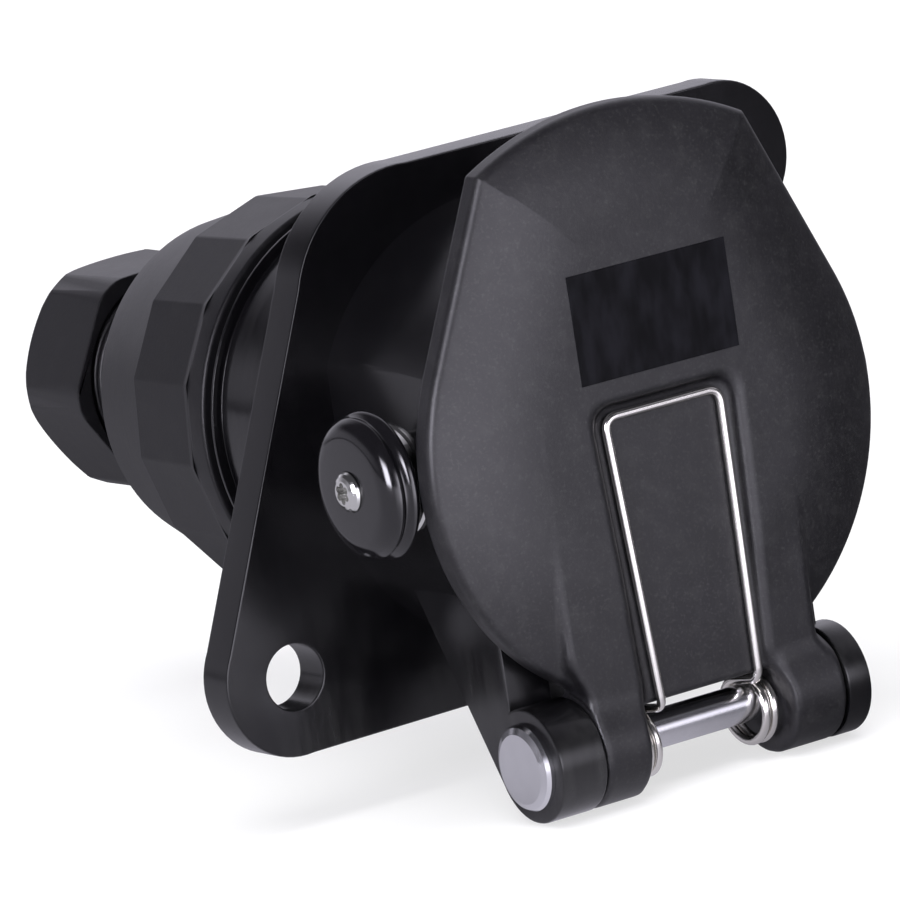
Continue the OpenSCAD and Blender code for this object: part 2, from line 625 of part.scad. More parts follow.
module gland_nut() color(black) difference() {
    intersection() {
        rotate([0, -nut_turn, 0]) plate(nut_y, nut_end + over) intersection() {
            rotate(30) circle(r = nut_af / sqrt(3), $fn = 6);
            circle(r = nut_ac / sqrt(3), $fn = 6);
        }
        let (r = nut_ac / 2 + 0.6, d = nut_dome)
            turned(concat([[0, nut_y], [r, nut_y]],
                [for (i = [0:8]) [r - d * (1 - cos(i * 10)), nut_end - d + d * sin(i * 10)]],
                [[r - d, nut_end], [0, nut_end]]));
    }
    let (r = spigot_r + run_c, c = cable_r + 1.5, y = slip_y + slip_t + run_c)
        turned([[0, nut_y - over], [spigot_r + 1, nut_y - over], [spigot_r + 1, nut_y + nut_mouth],
            [r, nut_y + nut_mouth + 1], [r, y], [c, y], [c, nut_end - 1.2], [c + 1.2, nut_end + play],
            [0, nut_end + play]]);
}

module gland_grommet() color(rubber) let (g = grommet_r - fix_c, y0 = tail_y + 2, y1 = spigot_y + fix_c,
    y2 = slip_y - fix_c, r = spigot_r - 1)
    turned([[cable_r, y0], [grommet_r - 1.2, y0], [g, y0 + 2], [g, y1], [r, y1], [r, y2 - edge],
        [r - edge, y2], [cable_r, y2]]);

module slip_ring() color(steel) let (a = cable_r + 1, b = spigot_r - 0.3)
    turned([[a, slip_y], [b, slip_y], [b, slip_y + slip_t], [a, slip_y + slip_t]]);

module at_place(i) let (p = places[i]) translate([p[0] * cos(p[1]), 0, p[0] * sin(p[1])]) children();
// Radius of a contact at its shoulder, and behind it
function foot_r(i) = places[i][2] + 0.2;
function rear_r(i) = places[i][2] + 0.9;

module insert() color([0.16, 0.16, 0.17]) difference() {
    let (r = bore_r - fix_c, y = seat_y - fix_c)
        turned([[0, insert_y], [r, insert_y], [r, y], [stem_r, y], [stem_r, stem_y], [0, stem_y]]);
    for (i = [0:6]) at_place(i) let (a = foot_r(i) + fix_c, b = rear_r(i) + fix_c, y = insert_y + shoulder)
        turned([[0, insert_y - over], [a, insert_y - over], [a, y], [b, y], [b, stem_y + over],
            [0, stem_y + over]]);
}

module insert_retainer() color(black) let (a = bore_r - 3, b = bore_r - fix_c, y = insert_y - retainer_t)
    difference() {
        turned([[a, y], [b, y], [b, insert_y - fix_c], [a, insert_y - fix_c]]);
        for (i = [0:3]) rotate([0, i * 90, 0])
            box([a - over, y - over, -1.5], [bore_r - 1.2, insert_y - retainer_t / 2, 1.5]);
    }

module contact(i) let (r = places[i][2], f = foot_r(i), q = rear_r(i), tip = insert_y - pin_len,
    y = insert_y + fix_c, s = insert_y + shoulder + run_c)
    color(brass) at_place(i) difference() {
        turned([[0, tip], [r * 0.5, tip], [r * 0.85, tip + r * 0.4], [r, tip + r], [r, y], [f, y], [f, s],
            [q, s], [q, lug_y], [0, lug_y]]);
        rod_y(stem_y + over, lug_y + over, q - 1);
        rotate([0, -places[i][1], 0]) translate([0, terminal_y, 0]) rod_x(0, q + over, terminal_r + fix_c);
    }

module terminal_screw(i) let (q = rear_r(i), t = terminal_r)
    color(steel) at_place(i) rotate([0, -places[i][1], 0]) translate([0, terminal_y, 0]) difference() {
        turned_x([[0, q - 1.6], [t - 0.5, q - 1.6], [t, q - 1.1], [t, q + 0.9], [0, q + 0.9]]);
        box([q + edge, -2 * t, -0.2], [q + 2, 2 * t, 0.2]);
    }

housing();
lid();
lid_seal();
hinge_pin();
pin_clip();
lid_spring();
roller(-1);  // roller_left
roller(1);  // roller_right
bush(-1);  // bush_left
bush(1);  // bush_right
roller_screw(-1);  // roller_screw_left
roller_screw(1);  // roller_screw_right
rear_cap();
cap_seal();
gland_nut();
gland_grommet();
slip_ring();
insert();
insert_retainer();
contact(0);  // contact_1
contact(1);  // contact_2
contact(2);  // contact_3
contact(3);  // contact_4
contact(4);  // contact_5
contact(5);  // contact_6
contact(6);  // contact_7
terminal_screw(0);  // terminal_screw_1
terminal_screw(1);  // terminal_screw_2
terminal_screw(2);  // terminal_screw_3
terminal_screw(3);  // terminal_screw_4
terminal_screw(4);  // terminal_screw_5
terminal_screw(5);  // terminal_screw_6
terminal_screw(6);  // terminal_screw_7
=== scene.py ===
"""Looks of the trailer socket: moulded plastic, bright metal, bare label panel, threads and a studio stage."""

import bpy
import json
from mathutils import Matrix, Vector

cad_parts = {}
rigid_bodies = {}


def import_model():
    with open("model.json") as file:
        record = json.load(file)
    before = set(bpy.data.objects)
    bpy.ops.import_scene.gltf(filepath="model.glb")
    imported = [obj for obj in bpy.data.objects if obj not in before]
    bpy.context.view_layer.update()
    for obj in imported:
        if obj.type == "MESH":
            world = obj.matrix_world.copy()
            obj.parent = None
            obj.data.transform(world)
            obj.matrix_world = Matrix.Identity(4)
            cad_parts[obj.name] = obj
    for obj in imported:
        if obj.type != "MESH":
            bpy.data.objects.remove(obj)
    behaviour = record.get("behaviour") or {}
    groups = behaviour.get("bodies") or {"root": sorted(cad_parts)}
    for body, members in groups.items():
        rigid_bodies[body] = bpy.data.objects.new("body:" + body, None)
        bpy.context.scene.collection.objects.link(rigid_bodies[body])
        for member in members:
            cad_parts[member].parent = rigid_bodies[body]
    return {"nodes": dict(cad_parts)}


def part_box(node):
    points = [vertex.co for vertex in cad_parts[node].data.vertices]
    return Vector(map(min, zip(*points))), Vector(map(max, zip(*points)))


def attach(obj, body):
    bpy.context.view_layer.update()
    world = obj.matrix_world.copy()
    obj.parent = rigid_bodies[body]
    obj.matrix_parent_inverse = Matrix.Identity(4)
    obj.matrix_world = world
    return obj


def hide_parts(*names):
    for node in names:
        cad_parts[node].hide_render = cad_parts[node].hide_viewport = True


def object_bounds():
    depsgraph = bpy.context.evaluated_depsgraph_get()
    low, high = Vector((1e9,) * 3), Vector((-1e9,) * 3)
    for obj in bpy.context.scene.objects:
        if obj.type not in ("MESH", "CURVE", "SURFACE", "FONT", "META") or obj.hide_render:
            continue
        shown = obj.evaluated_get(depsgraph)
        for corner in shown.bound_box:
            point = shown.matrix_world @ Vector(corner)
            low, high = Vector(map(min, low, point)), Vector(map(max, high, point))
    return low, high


bl_info = {
    "name": "Trailer socket",
    "version": (1, 0, 0),
    "blender": (4, 5, 0),
    "location": "View3D > Sidebar > Socket",
    "description": "Dresses the solids of a trailer socket and sets up its stage",
    "category": "Object",
}

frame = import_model()
CAD_BOX = [list(corner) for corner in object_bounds()]

import json
import math

import bmesh
import bpy
import numpy as np
from mathutils import Matrix, Vector

MM = 0.001
NODES = frame["nodes"]
WHITE = (1, 1, 1, 1)
BLACK = (0, 0, 0, 1)
# Cool tint of everything that lights or mirrors in the studio
STUDIO_TINT = (0.97, 0.945, 1.07, 1)


# Shader maths

class Value:
    """A number socket of a material. Arithmetic on it adds Math nodes."""

    def __init__(self, finish, socket):
        self.finish = finish
        self.socket = socket

    def math(self, operation, *others):
        """The operation with this value first."""
        values = {i + 1: other for i, other in enumerate(others)}
        return self.finish.node("Math", {"operation": operation}, {0: self, **values})

    def flipped(self, operation, other):
        """The operation with this value second."""
        return self.finish.node("Math", {"operation": operation}, {0: other, 1: self})

    def __add__(self, other): return self.math("ADD", other)
    def __radd__(self, other): return self.math("ADD", other)
    def __sub__(self, other): return self.math("SUBTRACT", other)
    def __rsub__(self, other): return self.flipped("SUBTRACT", other)
    def __mul__(self, other): return self.math("MULTIPLY", other)
    def __rmul__(self, other): return self.math("MULTIPLY", other)
    def __truediv__(self, other): return self.math("DIVIDE", other)
    def __rtruediv__(self, other): return self.flipped("DIVIDE", other)

    def step(self, low, high):
        """0 below low, 1 above high, smooth between."""
        ramp = {"interpolation_type": "SMOOTHSTEP"}
        return self.finish.node("MapRange", ramp, {"Value": self, "From Min": low, "From Max": high})


class Finish:
    """A node tree under construction."""

    def __init__(self, tree):
        self.tree = tree
        self.tree.nodes.clear()

    def node(self, kind, settings=None, values=None, out=0):
        """Adds a node: its settings first, then the values or links of its sockets."""
        made = self.tree.nodes.new("ShaderNode" + kind)
        for name, value in (settings or {}).items():
            setattr(made, name, value)
        for key, value in (values or {}).items():
            self.feed(made.inputs[key], value)
        return Value(self, made.outputs[out]) if made.outputs else None

    def feed(self, socket, value):
        """Links a value to a socket, or sets a plain number, colour or vector on it."""
        if isinstance(value, Value):
            self.tree.links.new(value.socket, socket)
        else:
            socket.default_value = value

    def place(self):
        """Object coordinates, in metres."""
        return self.node("TexCoord", out="Object")

    def parts(self, vector):
        """The three numbers of a vector."""
        split = self.node("SeparateXYZ", values={0: vector}).socket.node
        return [Value(self, split.outputs[i]) for i in range(3)]

    def noise(self, vector, size_mm, detail=2.0, rough=0.5):
        """Noise from 0 to 1 whose lumps are about size_mm wide."""
        return self.node("TexNoise", values={"Vector": vector, "Scale": 1 / (size_mm * MM),
                                             "Detail": detail, "Roughness": rough})

    def stretched(self, vector, scale):
        """Coordinates whose pattern is drawn out along the axes with a scale below 1."""
        return self.node("Mapping", values={"Vector": vector, "Scale": scale})

    def blend(self, share, a, b):
        """Colour a at 0, b at 1."""
        return self.node("Mix", {"data_type": "RGBA"}, {0: share, 6: a, 7: b}, out=2)

    def bump(self, height, depth_mm, strength):
        """A normal from a height of 0 to 1 that stands for depth_mm."""
        return self.node("Bump", values={"Height": height, "Distance": depth_mm * MM, "Strength": strength})

    def surface(self, **sockets):
        """Closes the tree with one shader whose sockets are given by name."""
        values = {name.replace("_", " "): value for name, value in sockets.items()}
        shader = self.node("BsdfPrincipled", values=values)
        self.node("OutputMaterial", values={"Surface": shader})


def finish_for(name):
    """A new material and its empty node tree."""
    material = bpy.data.materials.new(name)
    material.use_nodes = True
    return material, Finish(material.node_tree)


def tone(colour, share):
    """A colour made darker or lighter."""
    return tuple(min(1, c * share) for c in colour[:3]) + (1,)


# Settings

def colour_prop(name, text, default):
    return bpy.props.FloatVectorProperty(name=name, description=text, subtype="COLOR", size=3,
                                         min=0, max=1, default=default)


def length_prop(name, text, default):
    return bpy.props.FloatProperty(name=name, description=text, unit="LENGTH", precision=5, default=default)


def angle_prop(name, text, degrees):
    return bpy.props.FloatProperty(name=name, description=text, subtype="ANGLE", default=math.radians(degrees))


def number_prop(name, text, default, unit="NONE"):
    return bpy.props.FloatProperty(name=name, description=text, unit=unit, default=default)


class SocketColours(bpy.types.PropertyGroup):
    """Colours of the finishes"""
    plastic: colour_prop("Plastic", "Black moulded plastic", (0.0032, 0.003, 0.0038))
    roller: colour_prop("Roller", "Satin plastic of the lock rollers", (0.0032, 0.003, 0.0038))
    insert: colour_prop("Insert", "Plastic of the contact insert", (0.016, 0.016, 0.018))
    label: colour_prop("Label panel", "Bare panel on the lid", (0.0035, 0.0035, 0.0045))
    rubber: colour_prop("Rubber", "Seals and grommet", (0.006, 0.006, 0.006))
    wire: colour_prop("Spring wire", "Stainless wire of the lid spring", (0.78, 0.76, 0.72))
    zinc: colour_prop("Zinc", "Plated hinge pin", (0.68, 0.68, 0.7))
    steel: colour_prop("Steel", "Bushes and screws", (0.72, 0.72, 0.7))
    brass: colour_prop("Brass", "Contacts", (0.75, 0.56, 0.24))
    floor: colour_prop("Floor", "Studio floor", (0.92, 0.92, 0.92))


class SocketSizes(bpy.types.PropertyGroup):
    """Sizes of what is added to the solids"""
    label_width: length_prop("Label width", "Width of the bare panel on the lid", 24.3 * MM)
    label_height: length_prop("Label height", "Height of the bare panel on the lid", 14 * MM)
    label_middle: length_prop("Label middle", "Height of the panel's middle above the axis", 15.7 * MM)
    label_thick: length_prop("Label thickness", "How far the panel stands off the lid", 0.12 * MM)
    edge: length_prop("Edge rounding", "Rounding of the moulded edges", 0.3 * MM)
    ring: length_prop("Neck ring", "Where the thin ring lies along the axis", 23.5 * MM)
    ring_radius: length_prop("Neck ring, inside", "Radius below which the neck's edges are plain", 25 * MM)
    ring_reach: length_prop("Neck ring, reach", "Reach of the ring and its groove along the axis", 1.8 * MM)
    ring_edge: length_prop("Neck ring, edge", "Rounding of the ring and its groove", 0.08 * MM)
    ramp: length_prop("Cap ramp", "Where the cap's flats meet their ramps along the axis", 29.7 * MM)
    ramp_reach: length_prop("Cap ramp, reach", "How far from there the rounded edges may lie", 0.15 * MM)
    thread_start: length_prop("Thread start", "Where the gland's open thread starts along the axis", 71.6 * MM)
    thread_end: length_prop("Thread end", "Where the gland's open thread ends, in the nut's mouth", 78.4 * MM)
    thread_radius: length_prop("Thread radius", "Radius of the spigot that carries the thread", 12.9 * MM)
    thread_pitch: length_prop("Thread pitch", "Pitch of the gland's thread", 1.5 * MM)
    thread_height: length_prop("Thread height", "Height of the thread's ridge", 0.55 * MM)


class SocketSpring(bpy.types.PropertyGroup):
    """Path of the lid spring"""
    wire: length_prop("Wire", "Radius of the wire", 0.575 * MM)
    face: length_prop("Face", "Where the bail lies along the axis", -40.195 * MM)
    top: length_prop("Top", "Height of the bail's top", 3.9 * MM)
    half: length_prop("Half width", "Half the width of the bail at its top", 8.9 * MM)
    left_leg: length_prop("Left leg", "Foot of the left leg", -6.475 * MM)
    left_end: length_prop("Left end", "Outer end of the left coil", -9.075 * MM)
    right_leg: length_prop("Right leg", "Foot of the right leg", 8.675 * MM)
    right_end: length_prop("Right end", "Outer end of the right coil", 11.275 * MM)
    coil: length_prop("Coil", "Radius of the coils", 4.1 * MM)
    coil_y: length_prop("Coil axis, along", "Where the coils' axis lies along the socket", -35.1 * MM)
    coil_z: length_prop("Coil axis, up", "Height of the coils' axis", -38.725 * MM)
    fall: length_prop("Fall", "Fall of a leg from its foot to the pin", 0.6 * MM)
    top_bend: length_prop("Top bends", "Where the bail's upper bends start before their corners", 2 * MM)
    foot_bend: length_prop("Foot bends", "Where the bends at the feet start before their corners", 1.6 * MM)
    tail: length_prop("Tail", "Length of the tails behind the pin", 3.5 * MM)
    tail_rise: length_prop("Tail rise", "Rise of the tails over the coils", 0.4 * MM)
    turns: bpy.props.IntProperty(name="Turns", description="Turns in each coil", default=2)


class SocketLid(bpy.types.PropertyGroup):
    """Form of the lid"""
    step: length_prop("Mesh step", "Spacing of the points over the lid", 0.37 * MM)
    radius: length_prop("Radius", "Radius of the round part", 34 * MM)
    top: length_prop("Top", "Height of the top edge", 42.2 * MM)
    corner_x: length_prop("Corner across", "Half the width at the top corners", 20.5 * MM)
    corner_z: length_prop("Corner up", "Height of the top corners", 37 * MM)
    rise: length_prop("Rise", "Rise of the plateau over the rim", 3.5 * MM)
    slope: length_prop("Slope", "Width of the slope from rim to plateau", 16.5 * MM)
    swell: number_prop("Swell", "Fullness of the slope: 1 is straight", 2.2)
    rim: length_prop("Rim", "Where the rim's edge lies along the axis", -37.8 * MM)
    roof: length_prop("Roof", "Where the inner roof lies along the axis", -36.2 * MM)
    skirt: length_prop("Skirt", "Where the skirt ends along the axis", -34.6 * MM)
    wall: length_prop("Wall", "Wall of the skirt", 2.2 * MM)
    hinge_y: length_prop("Hinge, along", "Where the hinge lies along the axis", -35.1 * MM)
    hinge_z: length_prop("Hinge, up", "Height of the hinge", -37.8 * MM)
    barrel: length_prop("Barrel", "Radius of the knuckles", 7.4 * MM)
    bore: length_prop("Pin bore", "Radius of the pin's bore", 2.55 * MM)
    left_out: length_prop("Left knuckle, outer", "Outer end of the left knuckle", -17.3 * MM)
    left_in: length_prop("Left knuckle, inner", "Inner end of the left knuckle", -9.7 * MM)
    right_in: length_prop("Right knuckle, inner", "Inner end of the right knuckle", 11.9 * MM)
    right_out: length_prop("Right knuckle, outer", "Outer end of the right knuckle", 20.5 * MM)
    arm_left: length_prop("Left arm", "Outer side of the left arm", -19.7 * MM)
    arm_right: length_prop("Right arm", "Outer side of the right arm", 18.5 * MM)
    arm_fall: length_prop("Arm fall", "How far the arms' front falls back towards the knuckles", 0.6 * MM)
    left_lift: length_prop("Left arm's lift", "How much higher the left arm's outer side bends", 6 * MM)
    sway_top: length_prop("Sway top", "Height where the arms start to bend towards the knuckles", -30 * MM)
    sway_low: length_prop("Sway foot", "Height where the arms have become knuckles", -37 * MM)
    edge: length_prop("Knuckle edge", "Rounding of the knuckles' ends", 1 * MM)
    bay: length_prop("Bay", "Half the width of the bail's bay at its top", 10.8 * MM)
    bay_top: length_prop("Bay top", "Height of the bay's top edge", 5.4 * MM)
    bay_floor: length_prop("Bay floor", "Where the bay's floor lies along the axis", -39.6 * MM)
    bay_left: length_prop("Bay foot, left", "Left side of the bay level with its foot", -7.775 * MM)
    bay_right: length_prop("Bay foot, right", "Right side of the bay level with its foot", 9.675 * MM)
    bay_foot: length_prop("Bay foot", "Height of the bay's foot", -46.8 * MM)
    low: length_prop("Lower edge", "Height of the edge over the pin", -33.25 * MM)
    seal_in: length_prop("Seal, inner", "Inner radius of the seal's groove", 24 * MM)
    seal_out: length_prop("Seal, outer", "Outer radius of the seal's groove", 26.6 * MM)
    pocket: length_prop("Pocket", "Radius of the pocket in the roof", 22.8 * MM)


class SocketRollers(bpy.types.PropertyGroup):
    """Form of the lock rollers"""
    rim: length_prop("Rim", "How far the front rim lies below the ridge", 0.5 * MM)
    valley: length_prop("Valley", "How far the valley lies below the ridge", 0.75 * MM)
    flat: length_prop("Flat", "How far the face's edge lies in from the ridge", 3.3 * MM)
    seat: length_prop("Seat", "Radius of the screw's seat", 2.65 * MM)
    seat_depth: length_prop("Seat depth", "Depth of the screw's seat", 1.2 * MM)
    hole: length_prop("Hole", "Radius of the screw's hole", 1.75 * MM)
    web: length_prop("Web", "Thickness from the face to the journal's end", 2 * MM)
    journal: length_prop("Journal", "Radius of the journal's bore", 4.05 * MM)


class SocketView(bpy.types.PropertyGroup):
    """The photograph's camera"""
    azimuth: angle_prop("Azimuth", "Turn round the upright", -32.332)
    elevation: angle_prop("Elevation", "Angle above the horizon", 10.624)
    roll: angle_prop("Roll", "Turn about the line of sight", 8.642)
    place: bpy.props.FloatVectorProperty(name="Place", description="Where the camera stands", unit="LENGTH",
                                         subtype="TRANSLATION", default=(-0.566784, -0.885011, 0.192786))
    frame: number_prop("Frame", "Width of the camera's frame", 36.0, "CAMERA")
    lens: number_prop("Focal length", "Focal length on that frame", 330.2, "CAMERA")


class SocketStudio(bpy.types.PropertyGroup):
    """Strength of the studio's lights"""
    box: number_prop("Soft box", "Low soft box in front of the lid", 3.9)
    strip: number_prop("Strip", "Narrow strip light to the left", 17.0)
    behind: number_prop("Glow behind", "Wide glow behind, to the right", 0.68)
    rear: number_prop("Rear band", "Low band behind, to the left", 0.42)
    side: number_prop("Side light", "High soft light behind, to the right", 0.55)
    fill: number_prop("Fill", "Even light from everywhere", 0.06)
    lamp: number_prop("Shadow lamp", "Lamp above that casts the floor's shadow", 3.1)
    lamp_width: angle_prop("Shadow lamp's width", "Apparent width of the lamp", 50.0)
    floor_gap: length_prop("Floor gap", "Room between the floor and the socket's lowest point", 0.2 * MM)


# Finishes

# Pale dust in the grain, and the pale film that a wiping cloth leaves, laid on heavier low down as a painted
# reflection of the floor
DUST = (0.024, 0.024, 0.024, 1)
FILM_AND_REFLECTION = (0.017, 0.017, 0.017, 1)
# Heights between which the painted floor reflection in that film fades out
REFLECTION_FOOT, REFLECTION_TOP = -44 * MM, -4 * MM
# Radii between which the housing's glossy neck ends
NECK_INNER, NECK_OUTER = 27.4 * MM, 28.2 * MM
NECK_ROUGH = 0.16
NECK_WAVES = 9.0


def film_and_painted_reflection(f, place):
    """How much film lies on a place: soft upright streaks in patches, as a wiping cloth leaves them, and most
    of it low down as a painted reflection of the floor.
    """
    # Heavier low down: painted reflection of the floor
    low = 1 - f.parts(place)[2].step(REFLECTION_FOOT, REFLECTION_TOP)
    streak = f.noise(f.stretched(place, (1.0, 1.0, 0.12)), 1.4, 2.0).step(0.3, 0.75)
    patch = f.noise(place, 11.0, 2.0).step(0.36, 0.7)
    return patch * (0.35 + streak * 0.65) * (0.04 + low * 0.96)


def on_neck(f, place, start):
    """1 on the housing's round neck behind start, 0 elsewhere."""
    across, along, up = f.parts(place)
    inside = 1 - (across * across + up * up).step(NECK_INNER ** 2, NECK_OUTER ** 2)
    return along.step(start, start + 0.6 * MM) * inside


def moulded_plastic(name, colour, rough, grain_mm=0.22, grain_depth=0.012, scuff=0.5, shine=0.5,
                    neck_from=None):
    """Black plastic with a fine grain, flow marks and scuff's share of pale dust.

    With neck_from it is the housing's: wiped film laid on heavier low down as a painted reflection of the
    floor, and a glossy, gently wavy neck behind that place.
    """
    material, f = finish_for(name)
    place = f.place()
    grain = f.noise(place, grain_mm, 3.0, 0.6)
    mottle = f.noise(place, 7.0, 4.0, 0.55)
    flow = f.noise(f.stretched(place, (1.0, 1.0, 0.18)), 1.1, 3.0, 0.5)
    shade = mottle * 0.6 + flow * 0.4
    fine = f.noise(place, 0.42, 3.0, 0.6).step(0.5, 0.78)
    coarse = f.noise(place, 2.6, 5.0, 0.65).step(0.45, 0.75)
    base = f.blend(shade.step(0.3, 0.72), tone(colour, 0.82), tone(colour, 1.22))
    base = f.blend((fine * 0.7 + coarse * 0.3) * scuff, base, DUST)
    roughness = rough - 0.05 + shade * 0.1 + (grain - 0.5) * 0.05
    if neck_from is not None:
        film_and_reflection = film_and_painted_reflection(f, place)
        # Pale film, partly real wiping marks and partly a painted reflection of the floor low down
        base = f.blend(film_and_reflection, base, FILM_AND_REFLECTION)
        neck = on_neck(f, place, neck_from)
        roughness = roughness + film_and_reflection * 0.1 - neck * (rough - NECK_ROUGH)
        waves = f.noise(f.stretched(place, (0.3, 1.0, 0.3)), 3.0, 1.0)
        grain = grain * (1 - neck) + waves * neck * NECK_WAVES
    f.surface(Base_Color=base, Roughness=roughness, Specular_IOR_Level=shine,
              Normal=f.bump(grain, grain_depth, 0.6))
    return material


def bare_panel(name, colour):
    """The label's panel: darker film with faint smears."""
    material, f = finish_for(name)
    place = f.place()
    smear = f.noise(f.stretched(place, (1.0, 1.0, 0.35)), 3.2, 4.0, 0.6)
    speck = f.noise(place, 0.3, 2.0)
    base = f.blend(smear.step(0.35, 0.7), tone(colour, 0.6), tone(colour, 2.1))
    f.surface(Base_Color=base, Roughness=0.42 + smear * 0.14, Specular_IOR_Level=0.07,
              Normal=f.bump(speck, 0.006, 0.5))
    return material


def rubber(name, colour):
    """Dull rubber with a fine uneven skin."""
    material, f = finish_for(name)
    place = f.place()
    skin = f.noise(place, 0.5, 3.0)
    base = f.blend(f.noise(place, 4.0, 3.0), tone(colour, 0.7), tone(colour, 1.3))
    f.surface(Base_Color=base, Roughness=0.62 + skin * 0.14, Normal=f.bump(skin, 0.02, 0.6))
    return material


def bright_metal(name, colour, rough, stretch):
    """Metal with fine drawn or turned lines along the axes that stretch shortens."""
    material, f = finish_for(name)
    place = f.place()
    lines = f.noise(f.stretched(place, stretch), 0.12, 3.0, 0.6)
    cloud = f.noise(place, 2.4, 2.0)
    base = f.blend(cloud, tone(colour, 0.95), tone(colour, 1.04))
    roughness = rough + (lines - 0.5) * 0.08 + (cloud - 0.5) * 0.05
    f.surface(Base_Color=base, Roughness=roughness, Metallic=1.0, Normal=f.bump(lines, 0.004, 0.5))
    return material


# Strength above the floor's brightest reflection
GLOW_PEAK = 4.5


def paper(name, colour):
    """Pale floor: white with the shadow to the camera, lit in front, left and behind in reflections."""
    material, f = finish_for(name)
    place = f.place()
    base = f.blend(f.noise(place, 18.0, 3.0), tone(colour, 0.985), tone(colour, 1.0))
    across, along, _ = f.parts(place)
    away = (across * across + along * along).math("SQRT")
    forward = (across * -0.07 - along) / away
    leftward = (across * -0.996 + along * 0.087) / away
    backward = (across * 0.7 + along * 0.7) / away
    near = 0.6 * (1 - across.step(-0.03, 0.05))
    far = away.step(0.06, 0.22) * 2.7
    front = forward.step(0.7, 1.0) * (far + near) * (1 - across.step(0.1, 0.34))
    left = leftward.step(-0.3, 0.6) * (1 - across.step(-0.045, 0.0)) * 0.46
    back = backward.step(0.3, 0.9) * 0.18
    glow = f.blend((0.12 + left + front + back) / GLOW_PEAK, BLACK, STUDIO_TINT)
    glossy = f.node("LightPath", out="Is Glossy Ray")
    seen = f.node("LightPath", out="Is Camera Ray") + f.node("LightPath", out="Is Transmission Ray")
    matt = f.node("BsdfDiffuse", values={"Color": base})
    white = f.node("Emission", values={"Color": WHITE, "Strength": 1.04})
    mirrored = f.node("Emission", values={"Color": glow, "Strength": GLOW_PEAK})
    plain = f.node("MixShader", values={0: seen.math("MINIMUM", 1.0) * 0.62, 1: matt, 2: white})
    shader = f.node("MixShader", values={0: glossy, 1: plain, 2: mirrored})
    f.node("OutputMaterial", values={"Surface": shader})
    return material


def material_for(key):
    """The finish named key, made on first use."""
    found = bpy.data.materials.get(key)
    if found:
        return found
    c = bpy.context.scene.socket_colours
    makers = {
        "lid_plastic": lambda: moulded_plastic(key, tone(c.plastic, 1.6), 0.43, 0.4, 0.03, scuff=1.0),
        "housing_plastic": lambda: moulded_plastic(key, tone(c.plastic, 0.7), 0.2, scuff=0.15,
                                                   neck_from=2 * MM),
        "cap_plastic": lambda: moulded_plastic(key, c.plastic, 0.42, 0.4, 0.02, scuff=0.35, shine=0.36),
        "nut_plastic": lambda: moulded_plastic(key, c.plastic, 0.42, 0.4, 0.02, scuff=0.35),
        "roller_satin": lambda: moulded_plastic(key, c.roller, 0.13, grain_depth=0.003, scuff=0.1, shine=0.72),
        "insert_moulding": lambda: moulded_plastic(key, c.insert, 0.5),
        "label_film": lambda: bare_panel(key, c.label),
        "seal_rubber": lambda: rubber(key, c.rubber),
        "spring_wire": lambda: bright_metal(key, c.wire, 0.2, (1.0, 1.0, 0.2)),
        "zinc_plate": lambda: bright_metal(key, c.zinc, 0.2, (0.15, 1.0, 1.0)),
        "turned_steel": lambda: bright_metal(key, c.steel, 0.16, (1.0, 0.3, 0.3)),
        "contact_brass": lambda: bright_metal(key, c.brass, 0.28, (1.0, 0.2, 1.0)),
        "floor_paper": lambda: paper(key, c.floor),
    }
    return makers[key]()


NODE_FINISH = {
    "housing": "housing_plastic", "rear_cap": "cap_plastic", "gland_nut": "nut_plastic", "lid": "lid_plastic",
    "roller_left": "roller_satin", "roller_right": "roller_satin", "insert": "insert_moulding",
    "insert_retainer": "insert_moulding", "lid_seal": "seal_rubber", "cap_seal": "seal_rubber",
    "gland_grommet": "seal_rubber", "hinge_pin": "zinc_plate", "pin_clip": "turned_steel",
    "lid_spring": "spring_wire", "slip_ring": "turned_steel", "bush_left": "turned_steel",
    "bush_right": "turned_steel", "roller_screw_left": "turned_steel", "roller_screw_right": "turned_steel",
}


def node_finish(node):
    """The finish that a solid's node wears."""
    if node.startswith("contact"):
        return "contact_brass"
    return NODE_FINISH.get(node, "turned_steel")


# Meshes

def new_object(name, mesh):
    """A mesh as an object in the scene."""
    made = bpy.data.objects.new(name, mesh)
    bpy.context.scene.collection.objects.link(made)
    return made


def dress(piece, finish, body, slot, *replaced):
    """Gives a new piece its finish, its body and the solids that it stands for; slot is not used."""
    piece.data.materials.clear()
    piece.data.materials.append(material_for(finish))
    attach(piece, body)
    if replaced:
        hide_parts(*replaced)
    return piece


# Points of a solid's loose triangles that are the same, and faces that lie in one plane
SAME_POINT = 0.002 * MM
SAME_PLANE = math.radians(0.1)


def bevel(bm, edges, width, segments):
    bmesh.ops.bevel(bm, geom=edges, offset=width, offset_type="OFFSET", segments=segments, profile=0.5,
                    affect="EDGES", clamp_overlap=False, loop_slide=True)


def shaded(bm, name, crease):
    """Ends a mesh under construction: smooth faces, sharp edges where they meet at more than crease degrees."""
    for face in bm.faces:
        face.smooth = True
    for edge in bm.edges:
        edge.smooth = len(edge.link_faces) == 2 and edge.calc_face_angle() < math.radians(crease)
    mesh = bpy.data.meshes.new(name)
    bm.to_mesh(mesh)
    bm.free()
    return mesh


def rounded(node, width, wide, chosen, sharp=28.0):
    """A copy of a solid with the chosen edges rounded widely and its other sharp convex edges finely."""
    bm = bmesh.new()
    bm.from_mesh(NODES[node].data)
    bmesh.ops.remove_doubles(bm, verts=bm.verts, dist=SAME_POINT)
    bmesh.ops.dissolve_limit(bm, angle_limit=SAME_PLANE, verts=bm.verts, edges=bm.edges)
    bevel(bm, [e for e in bm.edges if len(e.link_faces) == 2 and chosen(e)], wide, 4)
    bevel(bm, [e for e in bm.edges if e.is_convex and e.calc_face_angle() > math.radians(sharp)], width, 2)
    piece = new_object(node + "_moulded", shaded(bm, node + "_moulded", 40))
    weighted = piece.modifiers.new("normals", "WEIGHTED_NORMAL")
    weighted.keep_sharp = True
    return settled(piece)


